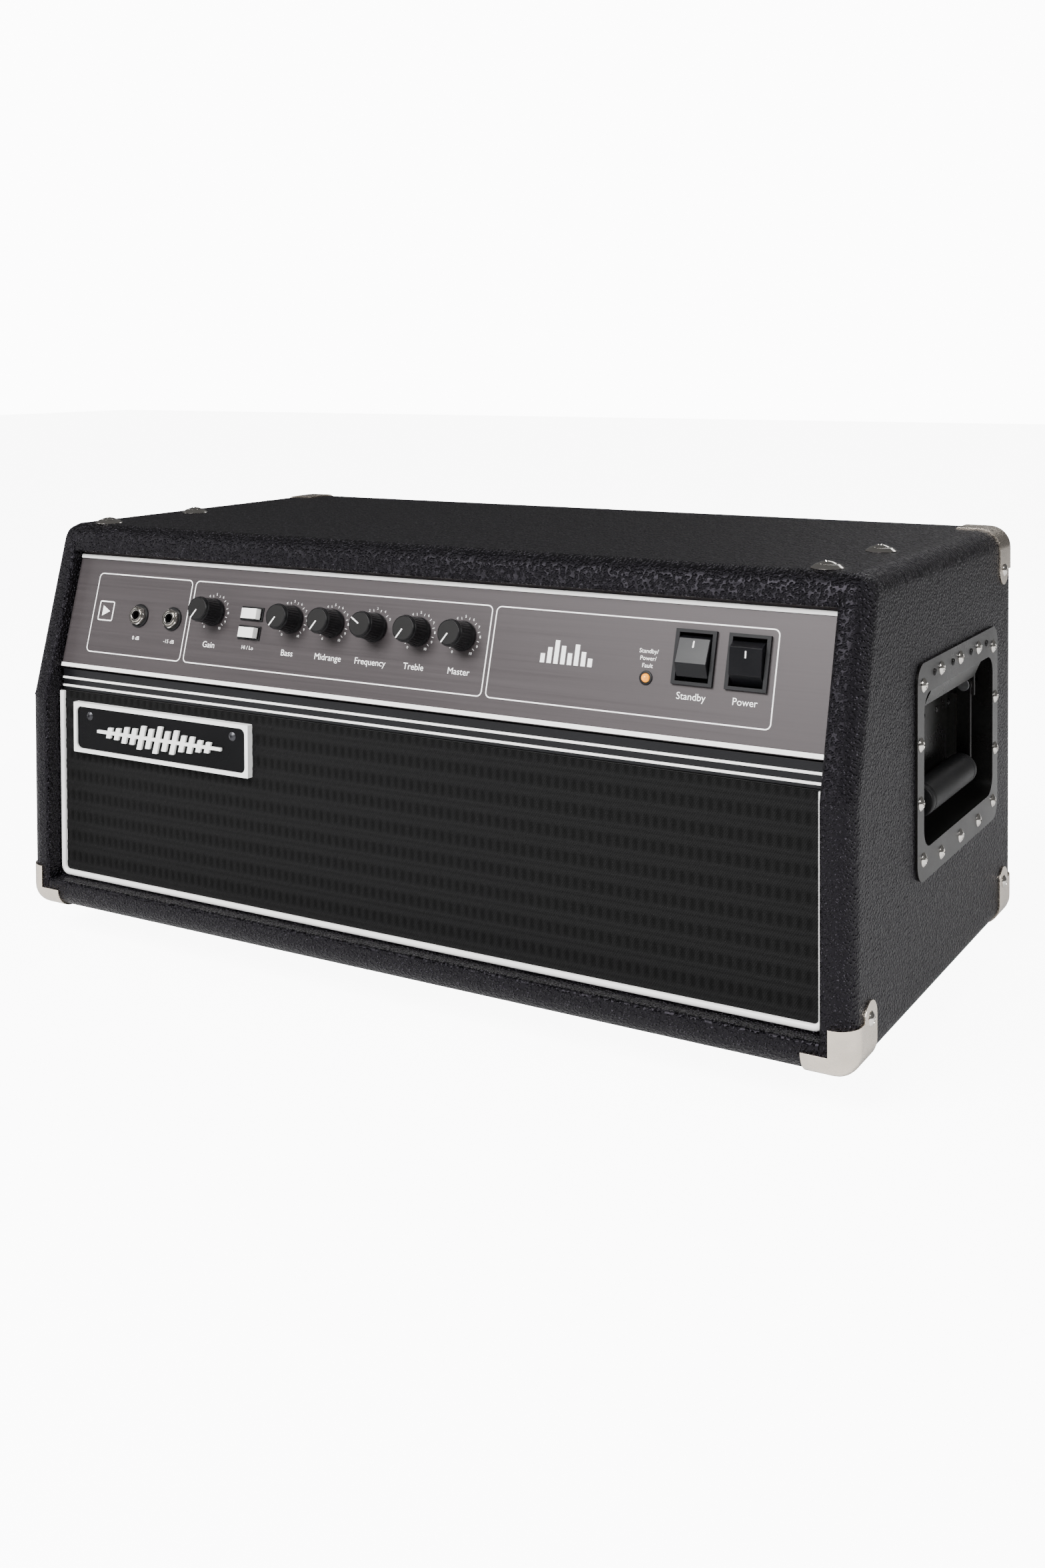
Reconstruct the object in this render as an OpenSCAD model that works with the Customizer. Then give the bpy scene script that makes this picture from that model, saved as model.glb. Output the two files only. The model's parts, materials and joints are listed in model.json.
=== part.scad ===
// Valve amplifier head for bass guitar: a covered wooden cabinet, a leaning control panel,
// a cloth grille, a steel handle in each side, and the preamplifier and power sections inside.
// Origin: middle of the footprint, on the surface that the rubber feet stand on.
// The front faces -Y, +X is to the right seen from the front, and +Z is up.

/* [Cabinet] */
// Width over the side boards
cab_w = 610; // [500:1:760]
// Depth from the lower front edge to the rear edge
cab_d = 328; // [300:1:420]
// Height of the cabinet without its feet
cab_h = 267; // [262:1:340]
// Thickness of every board with its covering
board_t = 19; // [15:0.5:23]
// Radius along the outer edges
edge_r = 13; // [6:0.5:14]
// Height above the cabinet's underside where the front edge starts to lean back
lean_start = 149; // [140:1:152]
// Lean of the upper front edge and of the control panel, in degrees
lean = 16; // [8:1:20]

/* [Feet] */
// Height of a rubber foot
foot_h = 24; // [12:1:32]
// Radius of a foot where it stands
foot_r = 16; // [12:0.5:22]
// Distance from the cabinet's sides and front to the middle of a foot
foot_inset = 80; // [60:1:95]

/* [Front] */
// Distance that the grille cloth lies behind the front edge
grille_recess = 14; // [10:0.5:20]
// Height of the grille with its board and cloth
grille_h = 131.2; // [110:0.2:131.2]
// Thickness of the grille board
grille_board_t = 9; // [6:0.5:12]
// Thickness of the grille cloth
cloth_t = 1.2; // [0.8:0.1:2]
// Width of the white piping
piping_w = 5.5; // [3:0.5:8]
// Height of the trim rail between the grille and the panel
trim_h = 15; // [8:0.5:15]
// Width of each thin white line in the trim rail
thin_line_w = 1.6; // [1:0.2:2.4]

/* [Control panel] */
// Distance of the panel's face behind the leaning front edge
panel_recess = 8.5; // [7:0.5:12]
// Height of the panel's lower edge above the cabinet's underside
panel_z = 167.5; // [167.5:0.5:172]
// Thickness of the panel
panel_t = 2; // [1.5:0.5:3]
// Width of the white strip along each long edge of the panel
strip_w = 2.8; // [2:0.2:4]
// Distance from the panel's left end to the first knob
first_knob_x = 130.5; // [125:0.5:136]
// Distance between neighbouring knobs
knob_pitch = 33.4; // [28:0.2:36]
// Height of the knobs' axes up the panel
knob_s = 48; // [34:0.5:56]
// Radius of a knob at its foot
knob_r = 9.4; // [8.8:0.1:11]
// Height of a knob's face above the panel
knob_h = 18.3; // [16:0.1:22]
// Radius of a control shaft
shaft_r = 3; // [2.5:0.1:3.2]
// Distance from the panel's left end to the first input jack
jack_x = 64.5; // [40:0.5:66]
// Distance between the two input jacks
jack_pitch = 30.4; // [24:0.2:32]
// Radius of the hole that takes a plug, for 1/4 inch plugs
jack_bore_r = 3.25; // [3.2:0.05:3.3]
// Distance from the panel's right end to the power switch
power_switch_x = 50.5; // [40:0.5:60]
// Distance between the power and standby switches
switch_pitch = 33; // [28:0.5:36]
// Tilt of a power or standby rocker to each side, in degrees
rocker_tilt = 10; // [6:1:12]
// Tilt of a tone rocker to each side, in degrees
tone_tilt = 10; // [6:1:12]

/* [Side handles] */
// Distance of the handles behind the middle of the cabinet
handle_y = 31; // [0:1:60]
// Height of the handles' middle above the cabinet's underside
handle_z = 141; // [125:1:160]
// Width of the handle's opening
dish_w = 150; // [140:1:170]
// Height of the handle's opening
dish_h = 92; // [86:1:110]
// Depth of the handle's recess
dish_depth = 22; // [22:0.5:34]
// Radius of the grip
grip_r = 10; // [7:0.5:10]
// Length of the grip
grip_l = 96; // [80:1:110]

/* [Rear] */
// Distance that the rear panel lies inside the rear edge
rear_recess = 12; // [8:0.5:24]
// Thickness of the rear panel
rear_t = 2; // [1.5:0.5:3]
// Side of the square fan frame
fan_w = 80; // [60:1:92]

/* [Inside] */
// Number of power valves
power_valves_n = 6; // [4:1:6]
// Distance between power valves
valve_pitch = 50; // [46:1:52]
// Height of the power chassis above the bottom board
tray_h = 42; // [34:1:46]

/* [Hidden] */
$fn = 48;

gap = 0.5;                              // clearance around a part that drops in
half_w = cab_w / 2;
half_d = cab_d / 2;
inner_half_w = half_w - board_t;
inner_top = cab_h - board_t;            // underside of the top board
front_y = -half_d;
slope = tan(lean);
top_front_y = front_y + (cab_h - lean_start) * slope;

// panel frame: x right, y up the slope, z out of the panel
panel_y = front_y + (panel_z - lean_start) * slope + panel_recess / cos(lean);
panel_half_w = inner_half_w - gap;
panel_h = (inner_top - gap - panel_z) / cos(lean);
shield_t = 1.5;                         // steel wall right behind the panel
wall_n = -panel_t - shield_t;           // back of that wall, measured out of the panel
bushing_r = 4.7;
pot_r = 8;
knob_axes = [for (i = [0, 2, 3, 4, 5, 6]) -panel_half_w + first_knob_x + i * knob_pitch];
tone_x = -panel_half_w + first_knob_x + knob_pitch;
tone_s = [knob_s + 1.4, knob_s - 11.2];
jack_axes = [for (i = [0, 1]) -panel_half_w + jack_x + i * jack_pitch];
jack_s = knob_s - 7.2;
switch_axes = [for (i = [0, 1]) panel_half_w - power_switch_x - (1 - i) * switch_pitch];
switch_s = knob_s + 0.3;
lamp_x = switch_axes[0] - 29.3;
lamp_s = knob_s - 14;
lamp_r = 3;
pointer_min = 147;                      // pointer at the lowest setting, from straight up
frequency_min = 60;
running = 0.05;                         // clearance of a shaft, a pivot or a seated control

// power and standby switches
bezel_w = 25.5;
bezel_h = 31.8;
switch_open_w = 20.6;
switch_open_h = 27.8;
switch_pivot_n = -4;
switch_axle_r = 1.5;
// tone switches
tone_w = 16;
tone_h = 7.4;
tone_pivot_n = -2;
tone_axle_r = 0.9;

// front
cloth_y = front_y + grille_recess;
grille_z = board_t + gap;
grille_top = grille_z + grille_h;
piping_t = 2.8;
trim_z = grille_top + 0.4;
trim_y = cloth_y + 1.8;
badge_w = 157.5;
badge_h = 35;
badge_t = 3.6;
badge_rim = 4;
badge_x = -inner_half_w + 17 + badge_w / 2;
badge_z = grille_top - 6 - badge_h / 2;
badge_screw = [64.5, 8.5];
small_screw_r = 1.6;

// handles, in a frame on the side board's outer face: x out, y back, z up
flange_t = 1.5;
flange_w = dish_w + 25;
flange_h = dish_h + 37;
dish_r = 12;
pivot_z = dish_h / 2 - 17;
pivot_x = -dish_depth / 2;
grip_z = -dish_h / 2 + 21;
arm_t = 3;
arm_w = 9;
arm_y = grip_l / 2 + 4;
pin_r = 2.5;
rod_r = 4;
ear_t = 2.5;
screw_r = 1.9;
screw_l = 13;
head_r = 4.3;
head_h = 2.2;
side_screws = concat(
  [for (i = [-1, 0, 1], j = [-1, 1]) [i * 40.5, j * (flange_h / 2 - 8.5)]],
  [for (i = [-1, 1], j = [-1, 1]) [i * (flange_w / 2 - 6.5), j * 17.3]],
  [for (i = [-1, 1], j = [-1, 1]) [i * (flange_w / 2 - 11.6), j * (flange_h / 2 - 13)]]);

// corner guards
guard_t = 1.2;
guard_leg = 29;
guard_low = 12.5;
guard_tall = 27.5;
guard_tongue = 37;
guard_screw = [27, 27];

// chassis bolts through the top board
bolt_x = half_w - 32;
bolt_ys = [top_front_y + 16, top_front_y + 108];
bolt_r = 3;

// rear
rear_y = half_d - rear_recess;          // outer face of the rear panel
cleat = 18;
rear_screw_z = [board_t + 9, inner_top - 9];
rear_screw_x = [for (i = [-1, -0.33, 0.33, 1]) i * (inner_half_w - 24)];
fan_x = -inner_half_w + 61;
fan_z = board_t + 126;
fan_t = 25;
fan_hub_r = 15;
fan_bore_r = fan_w / 2 - 3;
inlet_x = inner_half_w - 60;
inlet_z = board_t + 52;
inlet_w = 27;
inlet_h = 19.5;
out_jack_x = [-40, 0];
out_jack_z = board_t + 46;
slot_w = 4;
slot_pitch = 9;

// inside
tray_w = 2 * inner_half_w - 30;
tray_front = front_y + 44;
tray_back = rear_y - 34;
tray_t = 1.6;
tray_top = board_t + tray_h;
valve_y = tray_back - 42;
valve_axes = [for (i = [0 : power_valves_n - 1]) (i - (power_valves_n - 1) / 2) * valve_pitch];
small_valve_axes = [for (i = [-2 : 2]) i * 44];
small_valve_y = valve_y - 52;
shelf_z = panel_z + 3.5;                // underside of the preamplifier chassis
shelf_back = bolt_ys[1] + 34;
shelf_half = min(panel_half_w - 1, half_w - dish_depth - flange_t - 2);

// ---- shared shapes ----

// outline with every corner rounded; the points run counter-clockwise and the outline is convex
function unit(v) = v / norm(v);
function out_normal(a, b) = let (d = unit(b - a)) [d[1], -d[0]];
module rounded_outline(points, r) {
  n = len(points);
  normals = [for (i = [0 : n - 1]) out_normal(points[i], points[(i + 1) % n])];
  centres = [for (i = [0 : n - 1]) let (m = normals[(i + n - 1) % n], k = normals[i])
    points[i] - r * (m + k) / (1 + m * k)];
  polygon([for (i = [0 : n - 1], k = [0, 1]) centres[i] + r * normals[(i + n - 1 + k) % n]]);
  for (c = centres) translate(c) circle(r);
}

module rounded_rect(w, h, r) {
  rounded_outline([[-w / 2, -h / 2], [w / 2, -h / 2], [w / 2, h / 2], [-w / 2, h / 2]], r);
}

// the whole outside of the cabinet, rounded along every edge
module cabinet_outside() {
  side_view = [[front_y, 0], [half_d, 0], [half_d, cab_h], [top_front_y, cab_h],
    [front_y, lean_start]];
  far = cab_h + cab_d;
  intersection() {
    rotate([90, 0, 90]) translate([0, 0, -half_w]) linear_extrude(cab_w)
      rounded_outline(side_view, edge_r);
    translate([0, half_d, cab_h / 2]) rotate([90, 0, 0]) linear_extrude(cab_d)
      rounded_rect(cab_w, cab_h, edge_r);
    linear_extrude(cab_h) rounded_rect(cab_w, cab_d, edge_r);
    translate([0, front_y, lean_start]) rotate([-lean, 0, 0]) translate([0, 0, -far])
      linear_extrude(2 * far)
      rounded_outline([[-half_w, 0], [half_w, 0], [half_w, far], [-half_w, far]], edge_r);
  }
}

module in_cabinet() { translate([0, 0, foot_h]) children(); }

module on_panel(x = 0, s = 0) {
  in_cabinet() translate([0, panel_y, panel_z]) rotate([90 - lean, 0, 0])
    translate([x, s, 0]) children();
}

// frame on a side board's outer face; side is 1 for the right and -1 for the left
module on_side(side) {
  in_cabinet() mirror([side < 0 ? 1 : 0, 0, 0]) translate([half_w, handle_y, handle_z])
    children();
}

module ring(r, bore, h) {
  difference() {
    cylinder(r = r, h = h);
    translate([0, 0, -1]) cylinder(r = bore, h = h + 2);
  }
}

// oval head screw pointing down, with its head's underside at z = 0
module oval_screw(r, l, hr, hh) {
  rotate_extrude() polygon([[0, -l], [r, -l], [r, 0], [hr, 0], [hr * 0.93, hh * 0.45],
    [hr * 0.62, hh * 0.86], [hr * 0.25, hh], [0, hh]]);
}

// ---- cabinet ----

module side_board(side) {
  color("#16171b") difference() {
    in_cabinet() intersection() {
      cabinet_outside();
      translate([side > 0 ? inner_half_w : -half_w - 1, -cab_d, -1])
        cube([board_t + 1, 2 * cab_d, cab_h + 2]);
    }
    on_side(side) {
      translate([-board_t - 1, 0, 0]) rotate([90, 0, 90]) linear_extrude(board_t + 2)
        rounded_rect(dish_w + 4, dish_h + 4, dish_r + 2);
      for (p = side_screws) translate([-screw_l, p[0], p[1]]) rotate([0, 90, 0])
        cylinder(r = screw_r, h = screw_l + 1);
    }
    corner_screw_places(side) translate([0, 0, -screw_l]) cylinder(r = screw_r, h = screw_l + 3);
  }
}
module left_side_board() { side_board(-1); }
module right_side_board() { side_board(1); }

module bolt_places() {
  in_cabinet() for (i = [-1, 1], y = bolt_ys) translate([i * bolt_x, y, cab_h]) children();
}

module middle_slab(z) {
  intersection() {
    cabinet_outside();
    translate([-inner_half_w, -cab_d, z]) cube([2 * inner_half_w, 2 * cab_d, board_t]);
  }
}

module top_board() {
  color("#16171b") difference() {
    in_cabinet() middle_slab(inner_top);
    bolt_places() translate([0, 0, -board_t - 1]) cylinder(r = bolt_r + 0.3, h = board_t + 2);
  }
}

module foot_places() {
  for (i = [-1, 1], y = [front_y + foot_inset, half_d - foot_inset])
    translate([i * (half_w - foot_inset), y, foot_h]) children();
}

module bottom_board() {
  color("#16171b") difference() {
    in_cabinet() middle_slab(0);
    foot_places() cylinder(r = screw_r, h = screw_l);
  }
}

module rear_cleats() {
  color("#8a6b45") in_cabinet() difference() {
    for (z = [board_t, inner_top - cleat])
      translate([-inner_half_w, rear_y - rear_t - cleat, z]) cube([2 * inner_half_w, cleat, cleat]);
    for (x = rear_screw_x, z = rear_screw_z) translate([x, rear_y, z]) rotate([90, 0, 0])
      cylinder(r = screw_r, h = screw_l);
  }
}

module feet() {
  color("#1b1b1c") foot_places() rotate_extrude() difference() {
    polygon([[0, -foot_h], [foot_r - 1.5, -foot_h], [foot_r, -foot_h + 1.5],
      [foot_r + 2.5, -1], [foot_r + 2.5, 0], [0, 0]]);
    translate([-1, -foot_h - 1]) square([7, foot_h - 5]);
    translate([-1, -foot_h - 1]) square([1 + screw_r, foot_h + 2]);
  }
}

module foot_screws() {
  color("#a8a8a4") foot_places() translate([0, 0, -6]) mirror([0, 0, 1])
    oval_screw(screw_r, 6 + screw_l, 5, 3);
}

// ---- corner guards ----

// quarter of space below and left of a rounded corner that reaches g past the corner
module corner_outline(g) {
  span = 60;
  difference() {
    translate([-span, -span]) square(span + g);
    difference() {
      translate([-edge_r, -edge_r]) square(edge_r + g + 1);
      translate([-edge_r, -edge_r]) circle(edge_r + g);
    }
  }
}

module corner_block(g) {
  intersection() {
    translate([0, 0, -60]) linear_extrude(60 + g) corner_outline(g);
    rotate([90, 0, 90]) translate([0, 0, -60]) linear_extrude(60 + g) corner_outline(g);
    translate([0, g, 0]) rotate([90, 0, 0]) linear_extrude(60 + g) corner_outline(g);
  }
}

// local frame: the corner is at the origin and the cabinet lies at negative x, y and z;
// x is across the cabinet, y runs towards its front or rear, z up or down
module corner_guard() {
  difference() {
    intersection() {
      corner_block(guard_t);
      union() {
        translate([-guard_leg, -guard_tongue, -guard_low]) cube([guard_leg + 2,
          guard_tongue + 2, guard_low + 2]);
        translate([-guard_low - 1, -guard_low - 4, -guard_tall])
          cube([guard_low + 3, guard_low + 6, guard_tall + 2]);
        translate([-guard_low, -guard_screw[0], -guard_screw[1]]) rotate([0, 90, 0])
          cylinder(r = 10, h = guard_low + 2);
        translate([-guard_low, -guard_tongue, -guard_screw[1]])
          cube([guard_low + 2, guard_tongue, guard_screw[1]]);
      }
    }
    corner_block(0);
    translate([-5, -guard_screw[0], -guard_screw[1]]) rotate([0, 90, 0])
      cylinder(r = screw_r, h = 10);
  }
}

guard_corners = [[1, -1, -1], [1, 1, -1], [1, 1, 1], [-1, -1, -1], [-1, 1, -1], [-1, 1, 1]];

module at_corner(c) {
  in_cabinet() mirror([c[0] < 0 ? 1 : 0, 0, 0]) mirror([0, c[1] < 0 ? 1 : 0, 0])
    translate([half_w, half_d, c[2] < 0 ? 0 : cab_h]) mirror([0, 0, c[2] < 0 ? 1 : 0])
    children();
}

module corner_guards() {
  color("#c9c2b4") for (c = guard_corners) at_corner(c) corner_guard();
}

// places of the guards' screws, with z pointing out of the side board
module corner_screw_places(side) {
  for (c = guard_corners) if (c[0] == side) at_corner(c)
    translate([guard_t, -guard_screw[0], -guard_screw[1]]) rotate([0, 90, 0]) children();
}

module cabinet_screws() {
  color("#c8c4bb") {
    for (side = [-1, 1]) {
      corner_screw_places(side) oval_screw(screw_r, screw_l, head_r, head_h);
      on_side(side) for (p = side_screws) translate([flange_t, p[0], p[1]]) rotate([0, 90, 0])
        oval_screw(screw_r, screw_l, head_r, head_h);
    }
    in_cabinet() for (x = rear_screw_x, z = rear_screw_z) translate([x, rear_y, z])
      rotate([-90, 0, 0]) oval_screw(screw_r, screw_l, head_r, head_h);
  }
}

module chassis_bolts() {
  color("#c8c4bb") bolt_places() translate([0, 0, 2.6]) {
    oval_screw(bolt_r, board_t + 9, 5.4, 1.8);
  }
}

module cup_washers() {
  color("#c8c4bb") bolt_places() rotate_extrude() polygon([[bolt_r, 0], [9.5, 0], [9.5, 0.8],
    [7, 2.6], [bolt_r, 2.6]]);
}

// ---- grille and badge ----

module grille_board() {
  color("#1a1a1a") in_cabinet() translate([-panel_half_w, cloth_y + cloth_t, grille_z])
    cube([2 * panel_half_w, grille_board_t, grille_h]);
}

module grille_cloth() {
  color("#14171a") in_cabinet() translate([-panel_half_w, cloth_y, grille_z])
    cube([2 * panel_half_w, cloth_t, grille_h]);
}

module grille_piping() {
  outer_r = 7;
  inner_half = panel_half_w - piping_w;
  color("#eceae4") in_cabinet() translate([0, cloth_y, grille_z]) rotate([90, 0, 0])
    linear_extrude(piping_t) intersection() {
      difference() {
        translate([0, grille_h]) rounded_rect(2 * panel_half_w, 2 * grille_h, outer_r);
        translate([0, grille_h + piping_w]) rounded_rect(2 * inner_half, 2 * grille_h,
          outer_r - piping_w + 0.5);
      }
      translate([-half_w, -1]) square([cab_w, grille_h + 1]);
    }
}

module thin_lines(extra, depth) {
  for (z = [trim_z + 2.2, trim_z + trim_h - 7.2])
    translate([-panel_half_w - extra, trim_y - 0.6 + (extra > 0 ? 0.6 : 0), z])
      cube([2 * panel_half_w + 2 * extra, depth, thin_line_w]);
}

module trim_rail() {
  color("#17171a") in_cabinet() difference() {
    translate([-panel_half_w, trim_y, trim_z]) cube([2 * panel_half_w, 8, trim_h]);
    translate([0, -1, 0]) thin_lines(1, 2);
  }
}

module white_strips() {
  color("#f2f1ee") {
    in_cabinet() thin_lines(0, 1.6);
    for (s = [0.4, panel_h - strip_w - 2.2]) on_panel(0, s)
      translate([-panel_half_w, 0, 0]) cube([2 * panel_half_w, strip_w, 0.9]);
  }
}

module on_badge() {
  in_cabinet() translate([badge_x, cloth_y, badge_z]) rotate([90, 0, 0]) children();
}

module badge_plate() {
  color("#101010") on_badge() difference() {
    linear_extrude(badge_t + 1.4) square([badge_w, badge_h], center = true);
    translate([0, 0, badge_t]) linear_extrude(3)
      rounded_rect(badge_w - 2 * badge_rim, badge_h - 2 * badge_rim, 4);
    for (i = [-1, 1]) translate([i * badge_screw[0], badge_screw[1], -1])
      cylinder(r = small_screw_r, h = badge_t + 2);
  }
}

module badge_emblem() {
  bar_w = 4.2;
  color("#f2f1ee") on_badge() translate([0, -1, badge_t]) linear_extrude(2) {
    for (i = [-6 : 6]) {
      h = 7 + 12 * pow(cos(i * 13), 2) * (i % 2 == 0 ? 1 : 0.62);
      k = h * tan(16) / 2;
      translate([i * 7.4, 0]) polygon([[-bar_w / 2 - k, -h / 2], [bar_w / 2 - k, -h / 2],
        [bar_w / 2 + k, h / 2], [-bar_w / 2 + k, h / 2]]);
    }
    square([112, 2.2], center = true);
  }
}

module badge_screws() {
  color("#3a3a3c") on_badge() for (i = [-1, 1])
    translate([i * badge_screw[0], badge_screw[1], badge_t])
      oval_screw(small_screw_r, badge_t, 3, 1.4);
}

// ---- control panel ----

module panel_holes(h) {
  for (x = knob_axes) translate([x, knob_s, -h]) cylinder(r = bushing_r, h = 2 * h);
  for (x = jack_axes) translate([x, jack_s, -h]) cylinder(r = bushing_r, h = 2 * h);
  translate([lamp_x, lamp_s, -h]) cylinder(r = lamp_r + 0.6, h = 2 * h);
  for (x = switch_axes) translate([x, switch_s, 0])
    cube([bezel_w - 2.6, bezel_h - 1.6, 2 * h], center = true);
  for (s = tone_s) translate([tone_x, s, 0]) cube([tone_w + 2.4, tone_h + 1.9, 2 * h],
    center = true);
}

module control_panel() {
  color("#645f5f") on_panel() difference() {
    translate([-panel_half_w, 0, -panel_t]) cube([2 * panel_half_w, panel_h, panel_t]);
    panel_holes(5);
  }
}

module knob(x, angle) {
  on_panel(x, knob_s) rotate([0, 0, angle]) {
    color("#1d1d1f") difference() {
      union() {
        rotate_extrude() polygon([[0, 0.8], [knob_r, 0.8], [knob_r, 2.4], [knob_r - 0.7, 4],
          [knob_r - 1.2, knob_h - 3], [knob_r - 0.9, knob_h - 2.6], [knob_r - 1.6, knob_h],
          [0, knob_h]]);
        translate([-0.6, 1, knob_h - 1]) cube([1.2, knob_r - 3, 1.4]);
      }
      translate([0, 0, -1]) cylinder(r = knob_r - 1.8, h = 7.5);
      translate([0, 0, 5]) cylinder(r = shaft_r, h = knob_h - 8);
    }
    color("#9a9a98") translate([0, 0, wall_n - 8]) cylinder(r = shaft_r, h = knob_h - 3 - wall_n + 8);
  }
}
module gain_knob() { knob(knob_axes[0], pointer_min); }
module bass_knob() { knob(knob_axes[1], pointer_min); }
module mid_knob() { knob(knob_axes[2], pointer_min); }
module frequency_knob() { knob(knob_axes[3], frequency_min); }
module treble_knob() { knob(knob_axes[4], pointer_min); }
module master_knob() { knob(knob_axes[5], pointer_min); }

module shaft_control(x, r, depth) {
  on_panel(x, knob_s) difference() {
    union() {
      translate([0, 0, wall_n - running - depth]) cylinder(r = r, h = depth);
      translate([0, 0, wall_n - 1]) cylinder(r = bushing_r, h = 5.5 - wall_n);
    }
    translate([0, 0, wall_n - 9]) cylinder(r = shaft_r + running, h = 30);
  }
}

module potentiometers() {
  color("#7d7f80") for (i = [0, 1, 2, 4, 5]) shaft_control(knob_axes[i], pot_r, 12);
}

module rotary_switch() {
  color("#5b5a52") shaft_control(knob_axes[3], pot_r + 4, 16);
}

module shaft_nuts() {
  color("#a9a9a6") for (x = knob_axes) on_panel(x, knob_s) difference() {
    cylinder(r = 6.3, h = 2.2, $fn = 6);
    translate([0, 0, -1]) cylinder(r = bushing_r, h = 4, $fn = 48);
  }
}

module jack(h) {
  difference() {
    union() {
      translate([-8, -10, wall_n - running - 24]) cube([16, 20, 24]);
      translate([0, 0, wall_n - 1]) cylinder(r = bushing_r, h = h + 1 - wall_n);
    }
    translate([0, 0, wall_n - 20]) cylinder(r = jack_bore_r, h = 40);
  }
}

module input_jacks() {
  color("#c8c4bb") for (x = jack_axes) on_panel(x, jack_s) jack(4.6);
}

module jack_washers() {
  color("#141414") for (x = jack_axes) on_panel(x, jack_s) ring(8.1, bushing_r, 1.4);
}

module jack_nut() {
  difference() {
    cylinder(r = 7.2, h = 2.6, $fn = 6);
    translate([0, 0, -1]) cylinder(r = bushing_r, h = 5, $fn = 48);
  }
}

module jack_nuts() {
  color("#c8c4bb") for (x = jack_axes) on_panel(x, jack_s) translate([0, 0, 1.4]) jack_nut();
}

// ---- switches and lamp ----

module tone_rocker(s) {
  color("#eeeeea") on_panel(tone_x, s) translate([0, 0, tone_pivot_n]) rotate([0, -tone_tilt, 0]) {
    translate([0, tone_h / 2 - 0.3, 0]) rotate([90, 0, 0]) linear_extrude(tone_h - 0.6)
      polygon([[-tone_w / 2 + 0.5, 5.6], [0, 5.1], [tone_w / 2 - 0.5, 5.6],
        [tone_w / 2 - 0.7, 1.5], [4, -2.5], [-4, -2.5], [-tone_w / 2 + 0.7, 1.5]]);
    translate([0, tone_h / 2 + 0.6, 0]) rotate([90, 0, 0]) cylinder(r = tone_axle_r, h = tone_h + 1.2);
  }
}
module upper_tone_rocker() { tone_rocker(tone_s[0]); }
module lower_tone_rocker() { tone_rocker(tone_s[1]); }

module tone_switch_housings() {
  color("#1b1b1d") for (s = tone_s) on_panel(tone_x, s) difference() {
    union() {
      translate([-tone_w / 2 - 1.2, -tone_h / 2 - 0.95, wall_n - 12])
        cube([tone_w + 2.4, tone_h + 1.9, 12.8 - wall_n]);
    }
    translate([-tone_w / 2 - 0.4, -tone_h / 2, -7]) cube([tone_w + 0.8, tone_h, 20]);
    translate([0, tone_h / 2 + 0.7, tone_pivot_n]) rotate([90, 0, 0])
      cylinder(r = tone_axle_r + running, h = tone_h + 1.4);
  }
}

module big_rocker(x, tilt) {
  w = switch_open_w - 0.9;
  color("#151517") on_panel(x, switch_s) translate([0, 0, switch_pivot_n]) rotate([tilt, 0, 0]) {
    rotate([90, 0, 90]) translate([0, 0, -w / 2]) linear_extrude(w)
      polygon([[-12.3, 3.5], [-11, -2], [-4, -5], [4, -5], [11, -2], [12.4, 4], [9.5, 9.2],
        [-6, 9.6]]);
    translate([-w / 2 - 1.6, 0, 0]) rotate([0, 90, 0]) cylinder(r = switch_axle_r, h = w + 3.2);
  }
}
module standby_rocker() { big_rocker(switch_axes[0], -rocker_tilt); }
module power_rocker() { big_rocker(switch_axes[1], rocker_tilt); }

module power_switch_housings() {
  color("#18181a") for (x = switch_axes) on_panel(x, switch_s) difference() {
    union() {
      translate([-bezel_w / 2, -bezel_h / 2, 0]) cube([bezel_w, bezel_h, 2]);
      translate([-bezel_w / 2 + 1.3, -bezel_h / 2 + 0.8, -25])
        cube([bezel_w - 2.6, bezel_h - 1.6, 26]);
    }
    translate([-switch_open_w / 2, -switch_open_h / 2, -12])
      cube([switch_open_w, switch_open_h, 20]);
    translate([-switch_open_w / 2 - 1.3, 0, switch_pivot_n]) rotate([0, 90, 0])
      cylinder(r = switch_axle_r + running, h = switch_open_w + 2.6);
  }
}

module lamp_lens() {
  color("#ffa51e") on_panel(lamp_x, lamp_s) rotate_extrude() polygon([[0, -6], [lamp_r - 0.4, -6],
    [lamp_r - 0.4, 0.8], [lamp_r - 0.8, 1.8], [lamp_r - 1.7, 2.7], [0, 3.1]]);
}

module lamp_bezel() {
  color("#2b2b2c") on_panel(lamp_x, lamp_s) rotate_extrude() polygon([[lamp_r - 0.4, -5],
    [lamp_r + 0.6, -5], [lamp_r + 0.6, 0], [lamp_r + 1.2, 0], [lamp_r + 1, 0.8],
    [lamp_r - 0.4, 0.8]]);
}

// ---- side handles ----

module dish_pan(grow, depth) {
  translate([-depth, 0, 0]) rotate([90, 0, 90]) linear_extrude(depth + 5)
    rounded_rect(dish_w + 2 * grow, dish_h + 2 * grow, dish_r + grow);
}

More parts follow.
